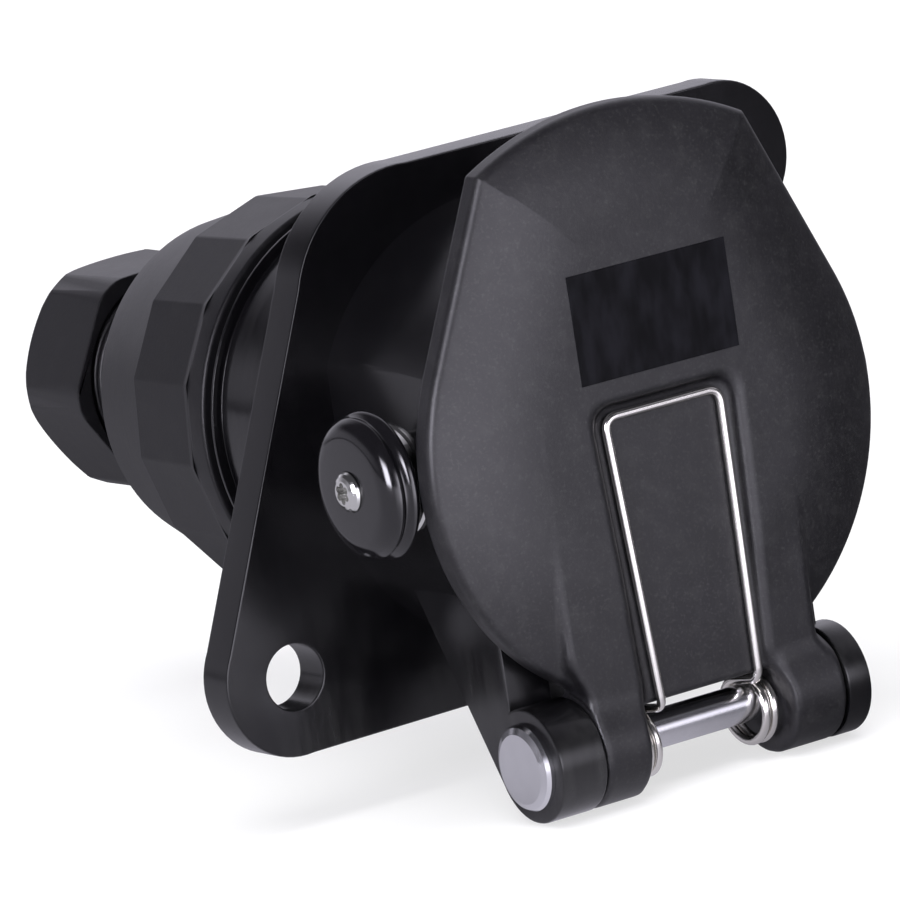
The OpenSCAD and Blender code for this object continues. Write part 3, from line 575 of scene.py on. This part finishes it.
def lengthwise(edge):
    """A long edge along the socket's axis between two faces that meet at a corner."""
    a, b = (v.co for v in edge.verts)
    return abs(a.y - b.y) > 0.95 * edge.calc_length() > 5 * MM and edge.calc_face_angle() > math.radians(12)


def smooth_line(points, steps=5):
    """Points on a smooth curve through the points."""
    points = [np.array(p, float) for p in points]
    line = []
    for before, a, b, after in zip([points[0], *points], points, points[1:], [*points[2:], points[-1]]):
        for t in np.arange(steps) / steps:
            square = (2 * before - 5 * a + 4 * b - after) * t ** 2
            cube = (3 * a - before - 3 * b + after) * t ** 3
            line.append(0.5 * (2 * a + (b - before) * t + square + cube))
    return line + [points[-1]]


def turned_mesh(name, profile, place, side, steps=96):
    """A closed profile of (radius, distance across) turned about an axis across the socket."""
    bm = bmesh.new()
    rings = []
    for k in range(steps):
        a = 2 * math.pi * k / steps
        rings.append([bm.verts.new((side * x, place.y + r * math.cos(a), place.z + r * math.sin(a)))
                      for r, x in profile])
    count = len(profile)
    for k in range(steps):
        one, two = rings[k], rings[(k + 1) % steps]
        for i in range(count):
            bm.faces.new((one[i], two[i], two[(i + 1) % count], one[(i + 1) % count]))
    bmesh.ops.recalc_face_normals(bm, faces=bm.faces)
    return shaded(bm, name, 35)


def settled(piece):
    """Turns an object's modifiers into plain mesh."""
    bpy.context.view_layer.update()
    graph = bpy.context.evaluated_depsgraph_get()
    mesh = bpy.data.meshes.new_from_object(piece.evaluated_get(graph), depsgraph=graph)
    piece.modifiers.clear()
    old, piece.data = piece.data, mesh
    bpy.data.meshes.remove(old)
    mesh.name = piece.name
    return piece


# Distance fields

def join_max(a, b, k):
    """Greater of two distances, rounded over k."""
    h = np.maximum(k - np.abs(a - b), 0) / k
    return np.maximum(a, b) + h * h * k / 4


def join_min(a, b, k):
    """Smaller of two distances, rounded over k."""
    return -join_max(-a, -b, k)


class LidForm:
    """The lid as a distance in millimetres, below zero inside."""
    # Roundings where two of its surfaces meet
    RIM_EDGE, WALL_EDGE = 0.9, 0.5
    LEFT_ARM_EDGE, RIGHT_ARM_EDGE, ARM_HEAD = 1.1, 1.5, 6.0
    BAY_CORNER, BAY_FOOT, BAY_EDGE, LOWER_EDGE = 3.6, 0.9, 1.5, 0.8
    KNUCKLE_ROOT, EAR_EDGE = 2.2, 0.5
    # Rounding between arms and shell on the plateau, what the slope adds, and the fall at which it has it all
    PLATEAU_JOIN, SLOPE_JOIN, SLOPE_FALL = 0.2, 0.7, 1.2
    # Heights from the bay's top edge: where the arms' front starts to fall, their head, the flanks' start
    FALL_START, HEAD_TOP, FLANK_START = 1, 3, -2.5
    # Room round the ears, how far the knuckles stand in front of the plateau, depths in the roof
    EAR_ROOM, KNUCKLE_FRONT, SEAL_DEPTH, POCKET_DEPTH = 0.4, 1.2, 0.8, 1.3
    # How far the knuckles stay below the barrel's radius
    KNUCKLE_GAP = 0.05
    # Latch nose under the top edge: half its width, its depth, its lower and its upper side
    NOSE_HALF, NOSE_DEPTH, NOSE_LOW, NOSE_TOP = 5, 1, 31.4, 34.4

    def __init__(self, sizes):
        for name in sizes.__annotations__:
            setattr(self, name, getattr(sizes, name) / MM)
        x, z = self.corner_x, self.corner_z
        self.side = np.arctan2(z, x) - np.arccos(self.radius / np.hypot(x, z))
        sag = self.top - z
        self.top_r = (x * x + sag * sag) / (2 * sag)
        self.swell = sizes.swell

    def outline(self, x, z):
        """Distance outside the lid's outline."""
        x = np.abs(x)
        side = x * np.cos(self.side) + z * np.sin(self.side) - self.radius
        top = np.hypot(x, z - self.top + self.top_r) - self.top_r
        return np.where(np.arctan2(z, x) < self.side, np.hypot(x, z) - self.radius, np.maximum(side, top))

    def face(self, u):
        """Height over the rim at u inward from the outline, and the cosine of the slope there."""
        left = np.clip(1 - u / self.slope, 0, 1)
        start = self.rise * self.swell / self.slope
        lean = start * left ** (self.swell - 1)
        height = np.where(u < 0, start * u, self.rise * (1 - left ** self.swell))
        return height, 1 / np.sqrt(1 + lean * lean)

    def shell(self, x, y, z):
        """The lid without arms and bay, and how far its face has fallen off the plateau, from 0 to 1."""
        u = -self.outline(x, z)
        rise, cosine = self.face(u)
        form = join_max(-u, (self.rim - rise - y) * cosine, self.RIM_EDGE)
        cavity = np.maximum(self.wall - u, self.roof - y)
        form = join_max(join_max(form, -cavity, self.WALL_EDGE), y - self.skirt, self.WALL_EDGE)
        return form, np.clip((self.rise - rise) / self.SLOPE_FALL, 0, 1)

    def swayed(self, z, straight, knuckle, tilt=0.0, lift=0.0):
        """Where a flank lies that runs straight and then bends to a knuckle's end, and its cosine."""
        height = self.sway_top - self.sway_low
        share = np.clip((self.sway_top + lift - z) / height, 0, 1)
        place = straight + (knuckle - straight) * share * share * (3 - 2 * share)
        lean = tilt + (knuckle - straight) * 6 * share * (1 - share) / height
        return place, 1 / np.sqrt(1 + lean * lean)

    def arms(self, x, y, z):
        """The two arms and the panel between them, before the bay is cut."""
        top = self.bay_top + self.FALL_START
        front = self.rim - self.rise + self.arm_fall * (top - z) / (top - self.low)
        left, left_cos = self.swayed(z, self.arm_left, self.left_out, lift=self.left_lift)
        right, right_cos = self.swayed(z, self.arm_right, self.right_out)
        form = join_max((left - x) * left_cos, front - y, self.LEFT_ARM_EDGE)
        form = join_max(form, (x - right) * right_cos, self.RIGHT_ARM_EDGE)
        form = join_max(form, z - self.bay_top - self.HEAD_TOP, self.ARM_HEAD)
        return np.maximum.reduce([form, y - self.roof, self.hinge_z - z])

    def flanks(self, x, z):
        """Distance outside the bay's two sides."""
        start = self.bay_top + self.FLANK_START
        sides = []
        for foot, half, knuckle, sign in ((self.bay_right, self.bay, self.right_in, 1),
                                          (self.bay_left, -self.bay, self.left_in, -1)):
            tilt = (foot - half) / (start - self.bay_foot)
            place, cosine = self.swayed(z, half + tilt * (start - z), knuckle, tilt)
            sides.append(sign * (x - place) * cosine)
        return sides

    def bay_space(self, x, y, z):
        """The room of the bail's bay."""
        form = z - self.bay_top
        for flank in self.flanks(x, z):
            form = join_max(form, flank, self.BAY_CORNER)
        return join_max(form, y - self.bay_floor, self.BAY_FOOT)

    def knuckle(self, x, round_pin, a, b):
        """A knuckle from a to b across, with rounded ends."""
        end = np.abs(x - (a + b) / 2) - (b - a) / 2 + self.edge
        rim = round_pin - self.barrel + self.KNUCKLE_GAP + self.edge
        outside = np.hypot(np.maximum(end, 0), np.maximum(rim, 0))
        return np.minimum(np.maximum(end, rim), 0) + outside - self.edge

    def __call__(self, x, y, z):
        form, fall = self.shell(x, y, z)
        form = join_min(form, self.arms(x, y, z), self.PLATEAU_JOIN + self.SLOPE_JOIN * fall)
        floor = [np.abs(x) - self.bay, self.bay_floor - y, y - self.roof, self.low - z, z]
        form = np.minimum(form, np.maximum.reduce(floor))
        round_pin = np.hypot(y - self.hinge_y, z - self.hinge_z)
        for a, b in ((self.left_out, self.left_in), (self.right_in, self.right_out)):
            form = join_min(form, self.knuckle(x, round_pin, a, b), self.KNUCKLE_ROOT)
        form = np.maximum(form, self.rim - self.rise - self.KNUCKLE_FRONT - y)
        form = join_max(form, -self.bay_space(x, y, z), self.BAY_EDGE)
        form = join_max(form, -np.maximum.reduce([*self.flanks(x, z), z - self.low]), self.LOWER_EDGE)
        for beyond in (x - self.left_out, self.right_out - x):
            ear = np.maximum(beyond, round_pin - self.barrel - self.EAR_ROOM)
            form = join_max(form, -ear, self.EAR_EDGE)
        around = np.hypot(x, z)
        groove = np.maximum.reduce([self.seal_in - around, around - self.seal_out,
                                    self.roof - self.SEAL_DEPTH - y])
        pocket = np.maximum(around - self.pocket, self.roof - self.POCKET_DEPTH - y)
        form = np.maximum.reduce([form, self.bore - round_pin, -groove, -pocket])
        nose = np.maximum.reduce([np.abs(x) - self.NOSE_HALF, self.roof - self.NOSE_DEPTH - y, y - self.skirt,
                                  self.NOSE_LOW - z, z - self.NOSE_TOP])
        return np.minimum(form, nose)


def surface_net(form, low, high, step):
    """Points and quads where a distance field crosses zero."""
    axes = [np.arange(a, b + step, step) for a, b in zip(low, high)]
    field = form(*np.meshgrid(*axes, indexing="ij"))
    inside = field < 0
    size = inside.shape
    corners = np.array([(i, j, k) for i in (0, 1) for j in (0, 1) for k in (0, 1)])
    count = sum(inside[i:size[0] - 1 + i, j:size[1] - 1 + j, k:size[2] - 1 + k].astype(np.int8)
                for i, j, k in corners)
    cells = np.argwhere((count > 0) & (count < 8))
    number = np.full(count.shape, -1)
    number[tuple(cells.T)] = np.arange(len(cells))
    value = np.stack([field[tuple((cells + c).T)] for c in corners], 1)
    total, hits = np.zeros((len(cells), 3)), np.zeros((len(cells), 1))
    for a in range(8):
        for b in range(a + 1, 8):
            if np.abs(corners[a] - corners[b]).sum() == 1:
                cut = (value[:, a] < 0) != (value[:, b] < 0)
                share = value[cut, a] / (value[cut, a] - value[cut, b])
                total[cut] += corners[a] + share[:, None] * (corners[b] - corners[a])
                hits[cut] += 1
    points = np.array(low) + step * (cells + total / hits)
    quads = []
    for axis in range(3):
        b, c = (axis + 1) % 3, (axis + 2) % 3
        first, second = np.delete(inside, -1, axis), np.delete(inside, 0, axis)
        for leaving in (True, False):
            edges = np.argwhere(first & ~second if leaving else ~first & second)
            ring = []
            for back_b, back_c in ((1, 1), (0, 1), (0, 0), (1, 0)):
                cell = edges.copy()
                cell[:, b] -= back_b
                cell[:, c] -= back_c
                ring.append(number[tuple(cell.T)])
            quads.append(np.stack(ring if leaving else ring[::-1], 1))
    return points, np.concatenate(quads)


def gradient(form, points, h=0.02):
    """How a distance field changes along each axis at the points."""
    return np.stack([(form(*(points + d).T) - form(*(points - d).T)) / (2 * h) for d in np.eye(3) * h], 1)


def field_mesh(name, form, low, high, step):
    """A mesh on a distance field's surface, shaded with the field's own normals."""
    points, quads = surface_net(form, low, high, step)
    for _ in range(3):
        slope = gradient(form, points)
        move = -form(*points.T) / np.maximum((slope * slope).sum(1), 0.2)
        points = points + np.clip(move, -0.5 * step, 0.5 * step)[:, None] * slope
    normals = gradient(form, points)
    normals /= np.linalg.norm(normals, axis=1)[:, None]
    mesh = bpy.data.meshes.new(name)
    mesh.from_pydata((points * MM).tolist(), [], quads.tolist())
    mesh.shade_smooth()
    mesh.normals_split_custom_set_from_vertices(normals.tolist())
    return mesh


# Node groups that sweep and repeat

class Sweep:
    """A geometry node group under construction, with named inputs."""

    def __init__(self, name, inputs):
        self.group = bpy.data.node_groups.new(name, "GeometryNodeTree")
        add = self.group.interface.new_socket
        add("Geometry", in_out="INPUT", socket_type="NodeSocketGeometry")
        self.ids = {label: add(label, in_out="INPUT", socket_type="NodeSocket" + kind).identifier
                    for label, kind in inputs.items()}
        add("Geometry", in_out="OUTPUT", socket_type="NodeSocketGeometry")
        self.given = self.group.nodes.new("NodeGroupInput")

    def node(self, kind, values):
        """Adds a node with the values or links of its sockets and returns its first output."""
        made = self.group.nodes.new(kind)
        for key, value in values.items():
            if isinstance(value, bpy.types.NodeSocket):
                self.group.links.new(value, made.inputs[key])
            else:
                made.inputs[key].default_value = value
        return made.outputs[0] if made.outputs else None

    def given_value(self, label):
        """One of the group's own inputs."""
        return self.given.outputs[label]

    def close(self, geometry):
        """Realises, shades and finishes what was made."""
        geometry = self.node("GeometryNodeRealizeInstances", {0: geometry})
        geometry = self.node("GeometryNodeSetShadeSmooth", {0: geometry, "Shade Smooth": True})
        geometry = self.node("GeometryNodeSetMaterial", {0: geometry, "Material": self.given_value("Material")})
        self.node("NodeGroupOutput", {0: geometry})

    def run(self, name, mesh, **values):
        """Runs the group on a mesh and returns a plain object."""
        piece = new_object(name, mesh)
        modifier = piece.modifiers.new(name, "NODES")
        modifier.node_group = self.group
        for label, value in values.items():
            modifier[self.ids[label.replace("_", " ").capitalize()]] = value
        return settled(piece)


def wire_sweep():
    """A round wire along a line of points."""
    s = Sweep("wire_sweep", {"Wire radius": "Float", "Sides": "Int", "Material": "Material"})
    path = s.node("GeometryNodeMeshToCurve", {0: s.given_value("Geometry")})
    ring = s.node("GeometryNodeCurvePrimitiveCircle", {"Resolution": s.given_value("Sides"),
                                                       "Radius": s.given_value("Wire radius")})
    s.close(s.node("GeometryNodeCurveToMesh", {0: path, 1: ring, "Fill Caps": True}))
    return s


def thread_sweep():
    """A helical ridge round the socket's axis, from a start along it."""
    s = Sweep("thread_sweep", {"Turns": "Float", "Radius": "Float", "Length": "Float", "Start": "Float",
                               "Ridge": "Float", "Material": "Material"})
    radius = s.given_value("Radius")
    helix = s.node("GeometryNodeCurveSpiral", {"Resolution": 64, "Rotations": s.given_value("Turns"),
                                               "Start Radius": radius, "End Radius": radius,
                                               "Height": s.given_value("Length")})
    place = s.node("ShaderNodeCombineXYZ", {"Y": s.given_value("Start")})
    helix = s.node("GeometryNodeTransform", {0: helix, "Translation": place, "Rotation": (-math.pi / 2, 0, 0)})
    ridge = s.node("GeometryNodeCurvePrimitiveCircle", {"Resolution": 4, "Radius": s.given_value("Ridge")})
    s.close(s.node("GeometryNodeCurveToMesh", {0: helix, 1: ridge, "Fill Caps": True}))
    return s


# Pieces, one operator for each or for each group of like pieces

class SOCKET_OT_solids(bpy.types.Operator):
    """Gives every solid its finish"""
    bl_idname = "socket.solids"
    bl_label = "Finish the solids"

    def execute(self, context):
        for name, solid in NODES.items():
            solid.data.materials.clear()
            solid.data.materials.append(material_for(node_finish(name)))
        return {"FINISHED"}


class SOCKET_OT_mouldings(bpy.types.Operator):
    """Rounds the edges of the moulded solids"""
    bl_idname = "socket.mouldings"
    bl_label = "Round the mouldings"

    def execute(self, context):
        s = context.scene.socket_sizes

        def on_ring(edge):
            return all(abs(v.co.y - s.ring) < s.ring_reach and v.co.xz.length > s.ring_radius
                       for v in edge.verts)

        def on_ramp(edge):
            return all(abs(v.co.y - s.ramp) < s.ramp_reach for v in edge.verts)

        pieces = {"socket": ("housing", rounded("housing", s.edge, s.ring_edge, on_ring)),
                  "cap": ("rear_cap", rounded("rear_cap", s.edge, 3 * s.edge, on_ramp, sharp=18)),
                  "nut": ("gland_nut", rounded("gland_nut", s.edge, 4 * s.edge, lengthwise))}
        for body, (node, piece) in pieces.items():
            dress(piece, node_finish(node), body, "body_plastic", node)
        return {"FINISHED"}


class SOCKET_OT_rollers(bpy.types.Operator):
    """Turns the lock rollers: ridge, shallow valley, round front rim and flat face"""
    bl_idname = "socket.rollers"
    bl_label = "Lock rollers"
    # Millimetres below the ridge and in front of the rear, then below the rim and behind the face
    RIDGE = ((1.4, 0), (0.5, 0.15), (0.1, 0.45), (0, 0.8), (0.15, 1.2), (0.5, 1.6))
    RIM = ((0.1, 2.1), (0, 1.8), (0.2, 1.4), (0.65, 0.85), (1.3, 0.4), (2.1, 0.1))

    def profile(self, s, box, rear, face):
        """Closed profile of (radius, distance across) of a roller."""
        r = (box[1].z - box[0].z) / 2
        outer = [*((r - d * MM, rear + x * MM) for d, x in self.RIDGE), (r - s.valley, rear + 2 * MM),
                 *((r - s.rim - d * MM, face - x * MM) for d, x in self.RIM), (r - s.flat, face)]
        inner = [(s.seat, face), (s.seat, face - s.seat_depth), (s.hole, face - s.seat_depth),
                 (s.hole, face - s.web), (s.journal, face - s.web), (s.journal, rear)]
        return [*smooth_line(outer), *inner]

    def execute(self, context):
        s = context.scene.socket_rollers
        for node, side in (("roller_left", -1), ("roller_right", 1)):
            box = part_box(node)
            rear, face = sorted(abs(corner.x) for corner in box)
            place = (box[0] + box[1]) / 2
            mesh = turned_mesh(node + "_turned", self.profile(s, box, rear, face), place, side)
            dress(new_object(node + "_turned", mesh), "roller_satin", node, "roller_plastic", node)
        return {"FINISHED"}


class SOCKET_OT_lid(bpy.types.Operator):
    """Makes the lid: slopes, plateau, bay, arms and knuckles in one smooth moulding"""
    bl_idname = "socket.lid"
    bl_label = "Lid"
    # Room round the lid's box in which its surface is looked for, in millimetres
    SPARE = 1.1

    def execute(self, context):
        form = LidForm(context.scene.socket_lid)
        low, high = (np.array(corner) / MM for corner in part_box("lid"))
        mesh = field_mesh("lid_moulded", form, low - self.SPARE, high + self.SPARE, form.step)
        dress(new_object("lid_moulded", mesh), "lid_plastic", "lid", "body_plastic", "lid")
        return {"FINISHED"}


class SOCKET_OT_spring(bpy.types.Operator):
    """Sweeps the lid spring's wire: bail, legs, coils and tails"""
    bl_idname = "socket.spring"
    bl_label = "Lid spring"
    TURN_STEPS = 36

    def bend(self, a, corner, b, reach, steps=12):
        """Points round a corner between a and b, from reach before it to reach behind it."""
        start, end = corner + reach * (a - corner).normalized(), corner + reach * (b - corner).normalized()
        return [(1 - k) ** 2 * start + 2 * k * (1 - k) * corner + k * k * end
                for k in (i / steps for i in range(steps + 1))]

    def half(self, s, side):
        """Points of one half, from the bail's middle down a leg, round the coil and along the tail."""
        leg, end = (s.left_leg, s.left_end) if side < 0 else (s.right_leg, s.right_end)
        crown_z = s.coil_z + s.coil
        middle, top = Vector((0, s.face, s.top)), Vector((side * s.half, s.face, s.top))
        low, crown = Vector((leg, s.face, crown_z + s.fall)), Vector((leg, s.coil_y, crown_z))
        path = [middle, *self.bend(middle, top, low, s.top_bend),
                *self.bend(top, low, crown, s.foot_bend), crown]
        steps = self.TURN_STEPS * s.turns
        for i in range(1, steps + 1):
            a = math.radians(90 - 360 / self.TURN_STEPS * i)
            x = leg + (end - leg) * i / steps
            path.append(Vector((x, s.coil_y + s.coil * math.cos(a), s.coil_z + s.coil * math.sin(a))))
        return path + [Vector((end, s.coil_y + s.tail, crown_z + s.tail_rise))]

    def execute(self, context):
        s = context.scene.socket_spring
        path = self.half(s, -1)[:0:-1] + self.half(s, 1)
        line = bpy.data.meshes.new("spring_line")
        line.from_pydata([tuple(p) for p in path], [(i, i + 1) for i in range(len(path) - 1)], [])
        piece = wire_sweep().run("spring_wire", line, wire_radius=s.wire, sides=20,
                                 material=material_for("spring_wire"))
        dress(piece, "spring_wire", "lid", "steel", "lid_spring")
        return {"FINISHED"}


class SOCKET_OT_thread(bpy.types.Operator):
    """Winds the open part of the gland's thread round the spigot"""
    bl_idname = "socket.thread"
    bl_label = "Gland thread"

    def execute(self, context):
        s = context.scene.socket_sizes
        length = s.thread_end - s.thread_start
        piece = thread_sweep().run("gland_thread", bpy.data.meshes.new("seed"), turns=length / s.thread_pitch,
                                   radius=s.thread_radius, length=length, start=s.thread_start,
                                   ridge=s.thread_height, material=material_for("cap_plastic"))
        dress(piece, "cap_plastic", "cap", "body_plastic")
        return {"FINISHED"}


class SOCKET_OT_label(bpy.types.Operator):
    """Lays the bare panel on the lid's plateau"""
    bl_idname = "socket.label"
    bl_label = "Label panel"

    def execute(self, context):
        s = context.scene.socket_sizes
        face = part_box("lid")[0].y + LidForm.KNUCKLE_FRONT * MM
        mesh = bpy.data.meshes.new("label_panel")
        bm = bmesh.new()
        bmesh.ops.create_cube(bm, size=1)
        size = Matrix.Diagonal((s.label_width, 2 * s.label_thick, s.label_height, 1))
        bm.transform(Matrix.Translation((0, face, s.label_middle)) @ size)
        bmesh.ops.bevel(bm, geom=bm.edges[:], offset=s.label_thick / 2, segments=2, profile=0.5, affect="EDGES")
        bm.to_mesh(mesh)
        bm.free()
        dress(new_object("label_panel", mesh), "label_film", "lid", "body_plastic")
        return {"FINISHED"}


class SOCKET_OT_stage(bpy.types.Operator):
    """Floor, soft light and the photograph's camera"""
    bl_idname = "socket.stage"
    bl_label = "Stage"
    # Half the width of the floor, in metres, and where the lamp shines
    FLOOR_REACH = 12.0
    LAMP_AIM = Vector((0.25, 0.3, -1))

    def execute(self, context):
        studio = context.scene.socket_studio
        self.floor(studio)
        self.sky(context.scene, studio)
        self.lamp(context.scene, studio)
        self.camera(context.scene)
        context.scene.view_settings.view_transform = "Standard"
        return {"FINISHED"}

    def floor(self, studio):
        """A wide sheet of paper just under the socket."""
        r, low = self.FLOOR_REACH, CAD_BOX[0][2] - studio.floor_gap
        mesh = bpy.data.meshes.new("floor")
        mesh.from_pydata([(-r, -r, low), (r, -r, low), (r, r, low), (-r, r, low)], [], [(0, 1, 2, 3)])
        mesh.materials.append(material_for("floor_paper"))
        new_object("floor", mesh)

    def sky(self, scene, studio):
        """Soft box in front, strip to the left, glow, side light and band behind; the camera sees white."""
        scene.world = bpy.data.worlds.new("studio")
        scene.world.use_nodes = True
        f = Finish(scene.world.node_tree)
        across, along, up = f.parts(f.node("TexCoord", out="Generated"))
        flat = (across * across + along * along).math("SQRT")

        def toward(azimuth):
            """Cosine of the turn between a ray and an azimuth, where 0 lies in front of the lid."""
            a = math.radians(azimuth)
            return (across * math.sin(a) - along * math.cos(a)) / flat

        def off(height):
            """How far a ray points above or below a height."""
            return (up - height).math("ABSOLUTE")

        box = toward(1).step(0.74, 1.0) * (1 - off(0.06).step(0.12, 0.4)) * studio.box
        strip = toward(-68).step(0.965, 0.99) * (1 - off(0.06).step(0.25, 0.5)) * studio.strip
        behind = (across * 0.66 + along * 0.73 + up * 0.14).step(0.4, 1.0) * studio.behind
        rear = toward(-150).step(0.4, 0.95) * up.step(0.0, 0.1) * (1 - up.step(0.2, 0.42)) * studio.rear
        side = toward(120).step(0.1, 0.85) * (1 - off(0.62).step(0.14, 0.38)) * studio.side
        seen = f.node("LightPath", out="Is Camera Ray")
        level = (box + strip + behind + rear + side + studio.fill) * (1 - seen) + seen
        light = f.node("Background", values={"Color": f.blend(seen, STUDIO_TINT, WHITE), "Strength": level})
        f.node("OutputWorld", values={"Surface": light})

    def lamp(self, scene, studio):
        """One soft lamp from above that gives the floor its shadow and shows in no reflection."""
        data = bpy.data.lights.new("shadow_lamp", "SUN")
        data.energy, data.angle = studio.lamp, studio.lamp_width
        lamp = bpy.data.objects.new("shadow_lamp", data)
        scene.collection.objects.link(lamp)
        lamp.rotation_euler = self.LAMP_AIM.to_track_quat("-Z", "Y").to_euler()
        lamp.visible_glossy = False

    def camera(self, scene):
        """The photograph's camera."""
        v = scene.socket_view
        a, e, r = v.azimuth, v.elevation, v.roll
        back = Vector((math.sin(a) * math.cos(e), -math.cos(a) * math.cos(e), math.sin(e)))
        level_right = (-back).cross(Vector((0, 0, 1))).normalized()
        level_down = (-back).cross(level_right)
        right = math.cos(r) * level_right + math.sin(r) * level_down
        up = math.sin(r) * level_right - math.cos(r) * level_down
        data = bpy.data.cameras.new("camera")
        data.sensor_width, data.lens = v.frame, v.lens
        data.clip_start, data.clip_end = 0.05, 50.0
        camera = bpy.data.objects.new("camera", data)
        scene.collection.objects.link(camera)
        turn = Matrix((right, up, back)).transposed().to_4x4()
        camera.matrix_world = Matrix.Translation(v.place) @ turn
        scene.camera = camera


class SOCKET_PT_panel(bpy.types.Panel):
    """Buttons for the socket's pieces and stage"""
    bl_label = "Trailer socket"
    bl_idname = "SOCKET_PT_panel"
    bl_space_type = "VIEW_3D"
    bl_region_type = "UI"
    bl_category = "Socket"

    def draw(self, context):
        for operator in OPERATORS:
            self.layout.operator(operator.bl_idname)


SETTINGS = {"socket_colours": SocketColours, "socket_sizes": SocketSizes, "socket_spring": SocketSpring,
            "socket_lid": SocketLid, "socket_rollers": SocketRollers, "socket_view": SocketView,
            "socket_studio": SocketStudio}
OPERATORS = [SOCKET_OT_solids, SOCKET_OT_mouldings, SOCKET_OT_rollers, SOCKET_OT_lid, SOCKET_OT_spring,
             SOCKET_OT_thread, SOCKET_OT_label, SOCKET_OT_stage]
CLASSES = [*SETTINGS.values(), *OPERATORS, SOCKET_PT_panel]


def register():
    for cls in CLASSES:
        bpy.utils.register_class(cls)
    for name, group in SETTINGS.items():
        setattr(bpy.types.Scene, name, bpy.props.PointerProperty(type=group))


def unregister():
    for name in SETTINGS:
        delattr(bpy.types.Scene, name)
    for cls in reversed(CLASSES):
        bpy.utils.unregister_class(cls)


def main():
    register()
    for operator in OPERATORS:
        group, name = operator.bl_idname.split(".")
        getattr(getattr(bpy.ops, group), name)()


if __name__ == "__main__":
    main()
